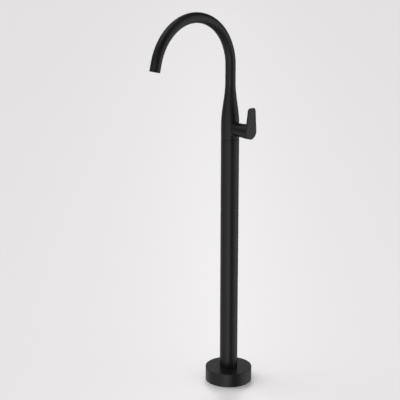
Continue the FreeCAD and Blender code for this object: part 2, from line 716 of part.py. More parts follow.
def fixed_disc():
    """Ceramic disc that stands still."""
    end = fixed_disc_x + FIXED_DISC_THICKNESS
    return rod_x(FIXED_DISC_RADIUS, fixed_disc_x, end).cut(port_rods(fixed_disc_x, end))


def moving_disc():
    """Ceramic disc that slides and turns, with the mixing pocket in its sealing face."""
    rise = disc_z - nozzle_z
    disc = rod_x(MOVING_DISC_RADIUS, moving_disc_x, driver_x, 0, rise)
    pocket_end = moving_disc_x + MIXING_POCKET_DEPTH
    pocket = rod_x(MOVING_DISC_RADIUS - MIXING_POCKET_RIM, moving_disc_x, pocket_end, 0, rise)
    edge = PORT_RISE - PORT_RADIUS - PORT_SEAL_LAND
    above = Part.makeBox(MIXING_POCKET_DEPTH, 2 * COLUMN_RADIUS, COLUMN_RADIUS)
    above.translate(V(moving_disc_x, -COLUMN_RADIUS, nozzle_z + edge))
    return disc.cut(pocket.cut(above))


def disc_driver():
    """Block on the moving disc with the pocket that the spindle's ball works in."""
    middle = driver_x + DRIVER_HEIGHT / 2
    block = box_about(V(middle, 0, disc_z), (DRIVER_HEIGHT, 2 * DRIVER_HALF_WIDTH, 2 * DRIVER_HALF_LENGTH))
    bite = BALL_RADIUS + BALL_PLAY
    floor_x = PIVOT_X - SPINDLE_ARM - BALL_RADIUS - 2 * SEAT_GAP
    end = driver_x + DRIVER_HEIGHT
    slot_middle = (floor_x + end) / 2
    slot_centre = V(slot_middle, 0, disc_z + disc_travel / 2)
    return block.cut(box_about(slot_centre, (end - floor_x, 2 * bite, 2 * bite)))


def cartridge_housing():
    """Housing of the cartridge, with the flange that the nut presses on and a mouth for the spindle."""
    lid_x = cartridge_end - CARTRIDGE_LID
    profile = [(fixed_disc_x, cartridge_bore), (fixed_disc_x, CARTRIDGE_RADIUS), (flange_x, CARTRIDGE_RADIUS)]
    profile += [(flange_x, CARTRIDGE_FLANGE_RADIUS), (nut_x, CARTRIDGE_FLANGE_RADIUS)]
    profile += [(nut_x, CARTRIDGE_RADIUS), (cartridge_end, CARTRIDGE_RADIUS)]
    profile += [(cartridge_end, CARTRIDGE_MOUTH), (lid_x, CARTRIDGE_MOUTH), (lid_x, cartridge_bore)]
    return turned_x(profile)


def turn_collar():
    """Collar that turns in the housing, guides the driver and holds the spindle's pivot pin."""
    end = cartridge_end - CARTRIDGE_LID - SEAT_GAP
    collar = rod_x(cartridge_bore - CLOSE_FIT, COLLAR_FLOOR, end)
    guide_end = driver_x + DRIVER_HEIGHT + 2 * SEAT_GAP
    guide_length = guide_end - COLLAR_FLOOR
    guide_middle = V((COLLAR_FLOOR + guide_end) / 2, 0, nozzle_z)
    guide = box_about(guide_middle, (guide_length, 2 * (DRIVER_HALF_WIDTH + CLOSE_FIT), 2 * COLUMN_RADIUS))
    slot_length = end - guide_end
    slot_middle = V((end + guide_end) / 2, 0, nozzle_z)
    slot_width = 2 * (SPINDLE_HALF_WIDTH + SEAT_GAP)
    slot = box_about(slot_middle, (slot_length, slot_width, 2 * COLLAR_SLOT_HALF_HEIGHT))
    collar = collar.cut(guide).cut(slot)
    return collar.cut(pin_rod(PIVOT_PIN_RADIUS + CLOSE_FIT, cartridge_bore))


def pin_rod(radius, half_length):
    """Rod across the nozzle through the pivot."""
    return Part.makeCylinder(radius, 2 * half_length, pivot - V(0, half_length, 0), V(0, 1, 0))


def pivot_pin():
    """Pin that the spindle tilts on."""
    return pin_rod(PIVOT_PIN_RADIUS, PIVOT_PIN_HALF_LENGTH)


def retaining_nut():
    """Ring nut that holds the cartridge down, with notches for its spanner."""
    end = nut_x + NUT_HEIGHT
    nut = rod_x(NUT_RADIUS, nut_x, end).cut(rod_x(CARTRIDGE_RADIUS + SLIDE_GAP, nut_x, end))
    for index in range(NUT_NOTCHES):
        notch = Part.makeBox(2 * NUT_NOTCH_DEPTH, NUT_NOTCH_WIDTH, NUT_RADIUS)
        notch_foot = nozzle_z + CARTRIDGE_RADIUS - SLIDE_GAP
        notch.translate(V(end - NUT_NOTCH_DEPTH, -NUT_NOTCH_WIDTH / 2, notch_foot))
        notch.rotate(V(0, 0, nozzle_z), V(1, 0, 0), 45 + 360 * index / NUT_NOTCHES)
        nut = nut.cut(notch)
    return nut


def dome_mouth_angle():
    """Half angle of the dome's opening: the spindle's tilt, the lever's boss and a margin."""
    boss = math.degrees(math.asin(HUB_BOSS_RADIUS / (DOME_RADIUS - DOME_WALL)))
    return TILT_LIMIT + boss + TILT_MARGIN


def dome_cover():
    """Ball-shaped cover on the nozzle's end that the lever's cup glides over."""
    nozzle_bore = NUT_RADIUS + THREAD_GAP
    blank = rod_x(NOZZLE_END_RADIUS, DOME_BASE, PIVOT_X + DOME_RADIUS)
    dome = blank.common(Part.makeSphere(DOME_RADIUS, pivot))
    dome = dome.fuse(rod_x(nozzle_bore - CLOSE_FIT, DOME_BASE - DOME_SKIRT, DOME_BASE))
    hollow = Part.makeSphere(DOME_RADIUS - DOME_WALL, pivot)
    hollow = hollow.common(rod_x(nozzle_bore - DOME_SKIRT, DOME_BASE - DOME_SKIRT, PIVOT_X + DOME_RADIUS))
    reach = 2 * DOME_RADIUS
    mouth_radius = reach * math.tan(math.radians(dome_mouth_angle()))
    mouth = Part.makeCone(0, mouth_radius, reach, pivot, V(1, 0, 0))
    return dome.cut(hollow).cut(mouth)


# ---- lever --------------------------------------------------------------------------------------------
def square_rod(width, start, end):
    """Square bar along the nozzle's axis."""
    return box_about(V((start + end) / 2, 0, nozzle_z), (end - start, width, width))


def spindle_end():
    return HUB_FACE - HUB_FRONT_WALL - SEAT_GAP


def spindle():
    """Lever shaft of the cartridge: ball, eye round the pivot pin and square end."""
    ball_x = PIVOT_X - SPINDLE_ARM
    eye_back = PIVOT_X - SPINDLE_EYE_RADIUS
    eye = Part.makeCylinder(
        SPINDLE_EYE_RADIUS, 2 * SPINDLE_HALF_WIDTH, pivot - V(0, SPINDLE_HALF_WIDTH, 0), V(0, 1, 0)
    )
    boss_x = hub_boss_start()
    shaft = rod_x(SPINDLE_RADIUS, PIVOT_X, boss_x - SEAT_GAP)
    neck_end = SPINDLE_RADIUS - 2 * SEAT_GAP
    neck_length = eye_back + NECK_BITE - ball_x
    neck = Part.makeCone(SPINDLE_NECK_RADIUS, neck_end, neck_length, V(ball_x, 0, nozzle_z), V(1, 0, 0))
    ball = Part.makeSphere(BALL_RADIUS, V(ball_x, 0, nozzle_z))
    body = eye.fuse([shaft, neck, ball, square_rod(SPINDLE_SQUARE, PIVOT_X, spindle_end())])
    return body.cut(pin_rod(PIVOT_PIN_RADIUS + CLOSE_FIT, cartridge_bore))


def hub_boss_start():
    """Distance of the boss's inner end from the column's axis."""
    return PIVOT_X + hub_sphere - HUB_BOSS_DEPTH


def lever_outline():
    """Disc and paddle as one outline: two round corners joined to the disc by tangent lines."""
    corner_y = LEVER_TOP_HALF_WIDTH - LEVER_CORNER
    corner_z = LEVER_HEIGHT - LEVER_CORNER
    spread = math.hypot(corner_y, corner_z)
    taper = math.asin((HUB_RADIUS - LEVER_CORNER) / spread) - math.atan2(corner_y, corner_z)

    def at(y, z):
        return V(0, y, nozzle_z + z)

    def on_corner(side, angle):
        reach = corner_y + LEVER_CORNER * math.cos(angle)
        return at(side * reach, corner_z + LEVER_CORNER * math.sin(angle))

    def on_disc(side, angle):
        return at(side * HUB_RADIUS * math.cos(angle), HUB_RADIUS * math.sin(angle))

    quarter = math.pi / 2
    half_way = (taper + quarter) / 2
    edges = [Part.LineSegment(on_disc(1, taper), on_corner(1, taper)).toShape()]
    edges.append(Part.Arc(on_corner(1, taper), on_corner(1, half_way), on_corner(1, quarter)).toShape())
    edges.append(Part.LineSegment(on_corner(1, quarter), on_corner(-1, quarter)).toShape())
    edges.append(Part.Arc(on_corner(-1, quarter), on_corner(-1, half_way), on_corner(-1, taper)).toShape())
    edges.append(Part.LineSegment(on_corner(-1, taper), on_disc(-1, taper)).toShape())
    edges.append(Part.Arc(on_disc(-1, taper), at(0, -HUB_RADIUS), on_disc(1, taper)).toShape())
    return Part.Wire(edges)


def lever_handle():
    """Lever: a round hub with a flat paddle that leans out a little, cupped behind to clear the dome."""
    depth = 2 * HUB_FACE
    paddle = Part.Face(lever_outline()).extrude(V(depth, 0, 0)).common(leaning_slab(LEVER_THICKNESS))
    hub_back = PIVOT_X + math.sqrt(hub_sphere ** 2 - HUB_RADIUS ** 2)
    hub = rod_x(HUB_RADIUS, hub_back, depth).cut(Part.makeSphere(hub_sphere, pivot))
    hub = hub.fuse(rod_x(HUB_BOSS_RADIUS, hub_boss_start(), HUB_FACE))
    lever = hub.common(leaning_slab(HUB_FACE)).fuse(paddle).removeSplitter()
    lever = lever.makeFillet(LEVER_EDGE, front_edges(lever))
    lever = lever.cut(square_rod(SPINDLE_SQUARE + 2 * CLOSE_FIT, hub_boss_start(), spindle_end() + SEAT_GAP))
    return lever.cut(lever_screw_hole())


def leaning_slab(thickness):
    """Slab whose front lies in the lever's leaning face."""
    width = 4 * LEVER_HEIGHT
    slab = box_about(V(HUB_FACE - thickness / 2, 0, nozzle_z), (thickness, width, width))
    slab.rotate(V(HUB_FACE, 0, nozzle_z), V(0, 1, 0), LEVER_LEAN)
    return slab


def front_edges(lever):
    """Edges of the lever's leaning front face."""
    front = max(lever.Faces, key=lambda face: face.Area)
    return front.OuterWire.Edges


def lever_screw_x():
    """The grub screw sits in the thick of the hub, clear of the cup's bottom."""
    return spindle_end() - LEVER_SCREW_RADIUS - SEAT_GAP


def lever_screw_hole():
    """Threaded hole up through the underside of the hub to the spindle."""
    bottom = nozzle_z - HUB_RADIUS - SEAT_GAP
    return Part.makeCylinder(LEVER_SCREW_RADIUS + THREAD_GAP, HUB_RADIUS, V(lever_screw_x(), 0, bottom))


def lever_grub_screw():
    """Grub screw that clamps the lever on the spindle."""
    top = nozzle_z - SPINDLE_SQUARE / 2 - SEAT_GAP
    bottom = top - LEVER_SCREW_LENGTH
    screw = Part.makeCylinder(LEVER_SCREW_RADIUS, LEVER_SCREW_LENGTH, V(lever_screw_x(), 0, bottom))
    return screw.cut(hexagon(LEVER_SCREW_RADIUS, bottom, LEVER_SCREW_LENGTH / 2, lever_screw_x(), 0))


def lever_screw_plug():
    """Small plug that closes the screw hole, a little below the hub's surface."""
    drop = HUB_RADIUS - LEVER_EDGE
    plug = Part.makeCylinder(LEVER_SCREW_RADIUS, LEVER_PLUG_LENGTH, V(lever_screw_x(), 0, nozzle_z - drop))
    return plug


NODES = {
    "floor_base_plate": floor_base_plate(),
    "base_grub_screws": base_grub_screws(),
    "riser_column": riser_column(),
    "floor_cover": floor_cover(),
    "cover_seal": cover_seal(),
    "inlet_unions": both_sides(inlet_union),
    "hose_washers": both_sides(hose_washer),
    "hose_tails": both_sides(hose_tail),
    "hose_nuts": both_sides(hose_nut),
    "lower_ferrules": both_sides(lower_ferrule),
    "upper_ferrules": both_sides(upper_ferrule),
    "hot_hose": supply_hose(HOSE_OFFSET),
    "cold_hose": supply_hose(-HOSE_OFFSET),
    "hose_nipples": both_sides(hose_nipple),
    "swivel_bush": swivel_bush(),
    "swivel_stop_pin": swivel_stop_pin(),
    "glide_ring": glide_ring(),
    "damping_rings": damping_rings(),
    "thrust_washer": thrust_washer(),
    "retaining_ring": retaining_ring(),
    "mixer_body": mixer_body(),
    "spout_tube": spout_tube(),
    "aerator_housing": aerator_housing(),
    "flow_straightener": flow_straightener(),
    "aerator_washer": aerator_washer(),
    "cartridge_gasket": cartridge_gasket(),
    "cartridge_base": cartridge_base(),
    "fixed_disc": fixed_disc(),
    "moving_disc": moving_disc(),
    "disc_driver": disc_driver(),
    "cartridge_housing": cartridge_housing(),
    "turn_collar": turn_collar(),
    "pivot_pin": pivot_pin(),
    "retaining_nut": retaining_nut(),
    "dome_cover": dome_cover(),
    "spindle": spindle(),
    "lever_handle": lever_handle(),
    "lever_grub_screw": lever_grub_screw(),
    "lever_screw_plug": lever_screw_plug(),
}

os.makedirs("parts", exist_ok=True)
for name, shape in NODES.items():
    shape.exportStep(os.path.join("parts", name + ".step"))
    print(name, len(shape.Solids), shape.isValid(), round(shape.Volume, 1))
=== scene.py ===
import bmesh
import bpy
import json
import math
from mathutils import Matrix, Vector

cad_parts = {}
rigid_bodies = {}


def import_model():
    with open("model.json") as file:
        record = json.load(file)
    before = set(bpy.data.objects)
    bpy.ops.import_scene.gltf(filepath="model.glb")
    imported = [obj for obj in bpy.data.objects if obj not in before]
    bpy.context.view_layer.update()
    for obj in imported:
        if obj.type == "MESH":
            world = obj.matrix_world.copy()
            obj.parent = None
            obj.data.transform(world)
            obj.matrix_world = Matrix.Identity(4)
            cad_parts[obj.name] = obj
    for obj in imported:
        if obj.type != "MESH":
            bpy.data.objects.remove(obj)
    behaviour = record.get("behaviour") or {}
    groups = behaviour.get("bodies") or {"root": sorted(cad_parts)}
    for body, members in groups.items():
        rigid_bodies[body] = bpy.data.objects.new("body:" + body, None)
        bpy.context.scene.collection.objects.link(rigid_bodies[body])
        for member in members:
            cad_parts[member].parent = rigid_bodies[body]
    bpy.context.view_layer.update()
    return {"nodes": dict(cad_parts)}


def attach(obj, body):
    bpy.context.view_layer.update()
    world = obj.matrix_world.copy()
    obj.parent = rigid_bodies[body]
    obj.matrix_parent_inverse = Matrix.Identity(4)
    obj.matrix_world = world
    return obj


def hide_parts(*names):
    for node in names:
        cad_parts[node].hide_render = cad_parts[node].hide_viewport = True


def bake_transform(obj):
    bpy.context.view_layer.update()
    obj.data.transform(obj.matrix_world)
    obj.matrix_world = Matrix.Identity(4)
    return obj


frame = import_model()


# ---- base plate and its grub screws --------------------------------------------------------------------
# The plate is turned from steel, zinc plated and bolted to the floor. The column stands in its socket,
# and three stainless grub screws clamp it there. The floor cover hides both.
def srgb(hex_colour):
    """The linear colour of an sRGB hex value."""
    channels = []
    for start in (1, 3, 5):
        level = int(hex_colour[start:start + 2], 16) / 255
        channels.append(level / 12.92 if level <= 0.04045 else ((level + 0.055) / 1.055) ** 2.4)
    return (*channels, 1.0)


def add_node(tree, kind, settings=None, links=None):
    """Adds a node with its settings, by socket or property, and the links that lead to it."""
    node = tree.nodes.new(kind)
    for name, value in (settings or {}).items():
        if isinstance(name, int) or name in node.inputs:
            node.inputs[name].default_value = value
        else:
            setattr(node, name, value)
    for name, socket in (links or {}).items():
        tree.links.new(socket, node.inputs[name])
    return node


def empty_material(name):
    """A new material and its empty node tree."""
    material = bpy.data.materials.new(name)
    material.use_nodes = True
    material.node_tree.nodes.clear()
    return material, material.node_tree


def finish_nodes(material, *names):
    """Gives CAD nodes their material."""
    for name in names:
        for slot in frame["nodes"][name].material_slots:
            slot.material = material


MM = 0.001

# Zinc plated steel: pale cool metal with a faint cloudy spangle.
zinc_plated_steel, tree = empty_material("zinc_plated_steel")
place = add_node(tree, "ShaderNodeTexCoord")
spangle = add_node(tree, "ShaderNodeTexVoronoi", {"Scale": 1 / (6 * MM)},
                   {"Vector": place.outputs["Object"]})
tint = add_node(tree, "ShaderNodeMix", {"data_type": "RGBA", 6: srgb("#b4b8bc"), 7: srgb("#c3c4c2")},
                {0: spangle.outputs["Color"]})
haze = add_node(tree, "ShaderNodeMapRange", {"To Min": 0.28, "To Max": 0.42},
                {"Value": spangle.outputs["Distance"]})
metal = add_node(tree, "ShaderNodeBsdfPrincipled", {"Metallic": 1.0},
                 {"Base Color": tint.outputs[2], "Roughness": haze.outputs[0]})
add_node(tree, "ShaderNodeOutputMaterial", links={"Surface": metal.outputs[0]})

# Stainless steel, machined: grey with fine turning marks that blur its shine.
stainless_steel, tree = empty_material("machined_stainless_steel")
place = add_node(tree, "ShaderNodeTexCoord")
marks = add_node(tree, "ShaderNodeTexNoise", {"Scale": 1 / (0.8 * MM), "Detail": 3.0},
                 {"Vector": place.outputs["Object"]})
haze = add_node(tree, "ShaderNodeMapRange", {"To Min": 0.22, "To Max": 0.36},
                {"Value": marks.outputs["Fac"]})
relief = add_node(tree, "ShaderNodeBump", {"Strength": 0.15, "Distance": 0.05 * MM},
                  {"Height": marks.outputs["Fac"]})
metal = add_node(tree, "ShaderNodeBsdfPrincipled", {"Base Color": srgb("#b9b7b3"), "Metallic": 1.0},
                 {"Roughness": haze.outputs[0], "Normal": relief.outputs[0]})
add_node(tree, "ShaderNodeOutputMaterial", links={"Surface": metal.outputs[0]})

finish_nodes(zinc_plated_steel, "floor_base_plate")
finish_nodes(stainless_steel, "base_grub_screws")


# ---- water connections in the base ---------------------------------------------------------------------
# Two brass unions in the base plate take the pipes from the floor. Nickel plated nuts draw the tails of
# the two hoses onto them over rubber washers, and steel ferrules are crimped round the hose ends.

# Brass, machined: warm yellow, a little duller in patches where it has been handled.
machined_brass, tree = empty_material("machined_brass")
place = add_node(tree, "ShaderNodeTexCoord")
patches = add_node(tree, "ShaderNodeTexNoise", {"Scale": 1 / (5 * MM), "Detail": 4.0},
                   {"Vector": place.outputs["Object"]})
tint = add_node(tree, "ShaderNodeMix", {"data_type": "RGBA", 6: srgb("#b98f4b"), 7: srgb("#d2ad66")},
                {0: patches.outputs["Fac"]})
haze = add_node(tree, "ShaderNodeMapRange", {"To Min": 0.4, "To Max": 0.22},
                {"Value": patches.outputs["Fac"]})
metal = add_node(tree, "ShaderNodeBsdfPrincipled", {"Metallic": 1.0},
                 {"Base Color": tint.outputs[2], "Roughness": haze.outputs[0]})
add_node(tree, "ShaderNodeOutputMaterial", links={"Surface": metal.outputs[0]})

# Nickel plate on brass: a warm white metal, smoother than the steel beside it.
nickel_plate, tree = empty_material("nickel_plated_brass")
place = add_node(tree, "ShaderNodeTexCoord")
patches = add_node(tree, "ShaderNodeTexNoise", {"Scale": 1 / (3 * MM), "Detail": 2.0},
                   {"Vector": place.outputs["Object"]})
haze = add_node(tree, "ShaderNodeMapRange", {"To Min": 0.14, "To Max": 0.26},
                {"Value": patches.outputs["Fac"]})
metal = add_node(tree, "ShaderNodeBsdfPrincipled", {"Base Color": srgb("#c1bbae"), "Metallic": 1.0},
                 {"Roughness": haze.outputs[0]})
add_node(tree, "ShaderNodeOutputMaterial", links={"Surface": metal.outputs[0]})

# EPDM rubber, moulded: near black, with a dry dusty bloom and no shine.
moulded_rubber, tree = empty_material("moulded_rubber")
place = add_node(tree, "ShaderNodeTexCoord")
bloom = add_node(tree, "ShaderNodeTexNoise", {"Scale": 1 / (2 * MM), "Detail": 5.0},
                 {"Vector": place.outputs["Object"]})
tint = add_node(tree, "ShaderNodeMix", {"data_type": "RGBA", 6: srgb("#161616"), 7: srgb("#232324")},
                {0: bloom.outputs["Fac"]})
haze = add_node(tree, "ShaderNodeMapRange", {"To Min": 0.7, "To Max": 0.9},
                {"Value": bloom.outputs["Fac"]})
rubber = add_node(tree, "ShaderNodeBsdfPrincipled", {"IOR": 1.5},
                  {"Base Color": tint.outputs[2], "Roughness": haze.outputs[0]})
add_node(tree, "ShaderNodeOutputMaterial", links={"Surface": rubber.outputs[0]})

finish_nodes(machined_brass, "inlet_unions", "hose_tails")
finish_nodes(nickel_plate, "hose_nuts")
finish_nodes(moulded_rubber, "hose_washers")
finish_nodes(stainless_steel, "lower_ferrules")


# ---- hot and cold hoses --------------------------------------------------------------------------------
# Each hose is a rubber tube in a braided stainless sleeve. Its lower end is fixed to the base and its
# upper end turns with the mixer body, so the hose twists when the spout is swung.
HOSE_OFFSET = 10.5
HOSE_RADIUS = 5.5
HOSE_BORE = 4.0
HOSE_FOOT = 29.3
HOSE_HEAD = 655.4
BRAID_STRANDS = 24
BRAID_PITCH = 16.0

TURN_STEPS = 128
MERGE_DISTANCE = 0.002
SHARP_ANGLE = 30.0


def turned(profile, steps=TURN_STEPS):
    """A closed profile of (radius, height) points in millimetres, spun round the column's axis."""
    bm = bmesh.new()
    corners = [bm.verts.new((radius * MM, 0, height * MM)) for radius, height in profile]
    edges = [bm.edges.new((corners[index - 1], corners[index])) for index in range(len(corners))]
    bmesh.ops.spin(
        bm, geom=corners + edges, cent=(0, 0, 0), axis=(0, 0, 1), angle=math.tau, steps=steps,
        use_merge=True,
    )
    return bm


def finished_piece(bm, name, material, slot, body, *nodes):
    """A smooth piece made of a bmesh, with its material, and on its body if it has one; the slot is not
    used.
    """
    bmesh.ops.remove_doubles(bm, verts=bm.verts, dist=MERGE_DISTANCE * MM)
    bmesh.ops.recalc_face_normals(bm, faces=bm.faces)
    mesh = bpy.data.meshes.new(name)
    bm.to_mesh(mesh)
    bm.free()
    mesh.shade_smooth()
    mesh.set_sharp_from_angle(angle=math.radians(SHARP_ANGLE))
    mesh.materials.append(material)
    piece = bpy.data.objects.new(name, mesh)
    bpy.context.scene.collection.objects.link(piece)
    even = piece.modifiers.new("even_shading", "WEIGHTED_NORMAL")
    even.keep_sharp = True
    if body:
        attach(piece, body)
    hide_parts(*nodes)
    return piece


# Braided stainless steel: two sets of bright strands cross at a slant, with painted shade where they dive
# under. The strands run round |y| - HOSE_OFFSET, so one material serves both hoses.
braided_steel, tree = empty_material("braided_stainless_steel")
place = add_node(tree, "ShaderNodeTexCoord")
split = add_node(tree, "ShaderNodeSeparateXYZ", links={0: place.outputs["Object"]})
side = add_node(tree, "ShaderNodeMath", {"operation": "ABSOLUTE"}, {0: split.outputs["Y"]})
across = add_node(tree, "ShaderNodeMath", {"operation": "SUBTRACT", 1: HOSE_OFFSET * MM},
                  {0: side.outputs[0]})
angle = add_node(tree, "ShaderNodeMath", {"operation": "ARCTAN2"},
                 {0: across.outputs[0], 1: split.outputs["X"]})
strand = add_node(tree, "ShaderNodeMath", {"operation": "MULTIPLY", 1: BRAID_STRANDS / 2},
                  {0: angle.outputs[0]})
rise = add_node(tree, "ShaderNodeMath",
                {"operation": "MULTIPLY", 1: math.tau * BRAID_STRANDS / 2 / (BRAID_PITCH * MM)},
                {0: split.outputs["Z"]})
left = add_node(tree, "ShaderNodeMath", {"operation": "ADD"}, {0: strand.outputs[0], 1: rise.outputs[0]})
right = add_node(tree, "ShaderNodeMath", {"operation": "SUBTRACT"},
                 {0: strand.outputs[0], 1: rise.outputs[0]})
left_wave = add_node(tree, "ShaderNodeMath", {"operation": "SINE"}, {0: left.outputs[0]})
right_wave = add_node(tree, "ShaderNodeMath", {"operation": "SINE"}, {0: right.outputs[0]})
weave_and_painted_shade = add_node(tree, "ShaderNodeMath", {"operation": "MULTIPLY"},
                 {0: left_wave.outputs[0], 1: right_wave.outputs[0]})
height = add_node(tree, "ShaderNodeMapRange", {"From Min": -1.0}, {"Value": weave_and_painted_shade.outputs[0]})
# The dark colour is painted shade where the strands dive under; the same height also drives the relief.
tint = add_node(tree, "ShaderNodeMix", {"data_type": "RGBA", 6: srgb("#6d6c69"), 7: srgb("#c6c4bf")},
                {0: height.outputs[0]})
relief = add_node(tree, "ShaderNodeBump", {"Strength": 0.8, "Distance": 0.3 * MM},
                  {"Height": height.outputs[0]})
metal = add_node(tree, "ShaderNodeBsdfPrincipled", {"Metallic": 1.0, "Roughness": 0.3},
                 {"Base Color": tint.outputs[2], "Normal": relief.outputs[0]})
add_node(tree, "ShaderNodeOutputMaterial", links={"Surface": metal.outputs[0]})

HOSE_RINGS = 24
HOSE_STEPS = 32
hose_profile = [(HOSE_BORE, HOSE_FOOT), (HOSE_BORE, HOSE_HEAD)]
for ring in range(HOSE_RINGS + 1):
    hose_profile.append((HOSE_RADIUS, HOSE_HEAD + (HOSE_FOOT - HOSE_HEAD) * ring / HOSE_RINGS))
for name, side in (("hot_hose", HOSE_OFFSET), ("cold_hose", -HOSE_OFFSET)):
    bm = turned(hose_profile, HOSE_STEPS)
    bmesh.ops.translate(bm, verts=bm.verts, vec=(0, side * MM, 0))
    hose = finished_piece(bm, name + "_braid", braided_steel, "braided_steel", None, name)
    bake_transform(hose)


# ---- riser column --------------------------------------------------------------------------------------
# A straight brass tube of 50 mm, coated matte black like every outer part. It stands in the base socket
# and carries the swivel and the mixer body at its top.
COLUMN_RADIUS = 25.0
COLUMN_BORE = 23.0
COLUMN_FOOT = 8.0
COLUMN_TOP = 696.0

# Matte black powder coat, sprayed and baked: a satin skin that mirrors the room as soft broad bands. Its
# orange peel is 0.5 mm across on the real one and is drawn at 5 mm, or it would not show at this size.
matte_black_coat, tree = empty_material("matte_black_powder_coat")
place = add_node(tree, "ShaderNodeTexCoord")
peel = add_node(tree, "ShaderNodeTexNoise", {"Scale": 1 / (5 * MM), "Detail": 2.0},
                {"Vector": place.outputs["Object"]})
cloud = add_node(tree, "ShaderNodeTexNoise", {"Scale": 1 / (30 * MM), "Detail": 3.0},
                 {"Vector": place.outputs["Object"]})
tint = add_node(tree, "ShaderNodeMix", {"data_type": "RGBA", 6: srgb("#131314"), 7: srgb("#171718")},
                {0: peel.outputs["Fac"]})
satin = add_node(tree, "ShaderNodeMapRange", {"To Min": 0.29, "To Max": 0.39},
                 {"Value": cloud.outputs["Fac"]})
relief = add_node(tree, "ShaderNodeBump", {"Strength": 0.2, "Distance": 0.1 * MM},
                  {"Height": peel.outputs["Fac"]})
coat = add_node(tree, "ShaderNodeBsdfPrincipled", {"IOR": 1.58}, {
    "Base Color": tint.outputs[2], "Roughness": satin.outputs[0], "Normal": relief.outputs[0],
})
add_node(tree, "ShaderNodeOutputMaterial", links={"Surface": coat.outputs[0]})

column_profile = [
    (COLUMN_BORE, COLUMN_FOOT), (COLUMN_RADIUS, COLUMN_FOOT),
    (COLUMN_RADIUS, COLUMN_TOP), (COLUMN_BORE, COLUMN_TOP),
]
column = turned(column_profile)
finished_piece(column, "column_tube", matte_black_coat, "matte_black_coat", "stand", "riser_column")


# ---- swivel at the column's top ------------------------------------------------------------------------
# A black bush is bonded in the column, and its flange shows as the fine ring under the mixer body, with
# a shadow groove below. A steel pin in it limits the swing, and the body turns on an acetal glide ring.
BUSH_BORE = 18.06
BUSH_INSERT_RADIUS = 22.95
BUSH_FOOT = 672.0
GROOVE_RADIUS = 24.2
FLANGE_BOTTOM = 696.7
FLANGE_TOP = 703.7
FLANGE_LOWER_EDGE = 0.4
FLANGE_UPPER_EDGE = 1.0
STOP_PIN_HEIGHT = 687.85
STOP_PIN_HOLE = 1.55
BORE_STEPS = 64
HOLE_STEPS = 24

# Black acetal, turned: even black with the soft sheen of a waxy plastic.
black_acetal, tree = empty_material("turned_black_acetal")
place = add_node(tree, "ShaderNodeTexCoord")
marks = add_node(tree, "ShaderNodeTexNoise", {"Scale": 1 / (1 * MM), "Detail": 2.0},
                 {"Vector": place.outputs["Object"]})
haze = add_node(tree, "ShaderNodeMapRange", {"To Min": 0.34, "To Max": 0.46},
                {"Value": marks.outputs["Fac"]})
plastic = add_node(tree, "ShaderNodeBsdfPrincipled", {"Base Color": srgb("#121212"), "IOR": 1.48},
                   {"Roughness": haze.outputs[0]})
add_node(tree, "ShaderNodeOutputMaterial", links={"Surface": plastic.outputs[0]})


def rod(radius, start, end, steps=BORE_STEPS):
    """A closed bar of one radius between two points in millimetres, to add to or cut from a piece."""
    bm = bmesh.new()
    run = Vector(end) - Vector(start)
    middle = (Vector(start) + Vector(end)) / 2
    turn = run.to_track_quat("Z", "Y").to_matrix().to_4x4()
    bmesh.ops.create_cone(
        bm, cap_ends=True, segments=steps, radius1=radius * MM, radius2=radius * MM,
        depth=run.length * MM, matrix=Matrix.Translation(middle * MM) @ turn,
    )
    return bm


def combined(bm, operation, tools):
    """The bmesh with other closed ones added to it, by UNION, or cut from it, by DIFFERENCE.

    All are triangles first, so that every cut is exact and leaves a closed skin.
    """
    group = bpy.data.collections.new("tools")
    meshes = []
    for tool in [bm] + tools:
        bmesh.ops.remove_doubles(tool, verts=tool.verts, dist=MERGE_DISTANCE * MM)
        bmesh.ops.triangulate(tool, faces=tool.faces)
        bmesh.ops.recalc_face_normals(tool, faces=tool.faces)
        mesh = bpy.data.meshes.new("tool")
        tool.to_mesh(mesh)
        tool.free()
        meshes.append(mesh)
    blank = bpy.data.objects.new("blank", meshes[0])
    bpy.context.scene.collection.objects.link(blank)
    for mesh in meshes[1:]:
        group.objects.link(bpy.data.objects.new("tool", mesh))
    bpy.context.scene.collection.children.link(group)
    boolean = blank.modifiers.new("combine", "BOOLEAN")
    boolean.operation = operation
    boolean.solver = "EXACT"
    boolean.operand_type = "COLLECTION"
    boolean.collection = group
    shaped = bmesh.new()
    shaped.from_object(blank, bpy.context.evaluated_depsgraph_get())
    for tool in list(group.objects) + [blank]:
        bpy.data.objects.remove(tool)
    bpy.data.collections.remove(group)
    return shaped


bush_profile = [
    (BUSH_BORE, BUSH_FOOT), (BUSH_INSERT_RADIUS, BUSH_FOOT), (BUSH_INSERT_RADIUS, COLUMN_TOP),
    (GROOVE_RADIUS, COLUMN_TOP), (GROOVE_RADIUS, FLANGE_BOTTOM),
    (COLUMN_RADIUS - FLANGE_LOWER_EDGE, FLANGE_BOTTOM),
    (COLUMN_RADIUS, FLANGE_BOTTOM + FLANGE_LOWER_EDGE), (COLUMN_RADIUS, FLANGE_TOP - FLANGE_UPPER_EDGE),
    (COLUMN_RADIUS - FLANGE_UPPER_EDGE, FLANGE_TOP), (BUSH_BORE, FLANGE_TOP),
]
pin_hole = rod(STOP_PIN_HOLE, (0, 0, STOP_PIN_HEIGHT), (0, COLUMN_BORE, STOP_PIN_HEIGHT), HOLE_STEPS)
bush = combined(turned(bush_profile), "DIFFERENCE", [pin_hole])
finished_piece(bush, "swivel_flange", matte_black_coat, "matte_black_coat", "stand", "swivel_bush")
finish_nodes(stainless_steel, "swivel_stop_pin")
finish_nodes(black_acetal, "glide_ring")


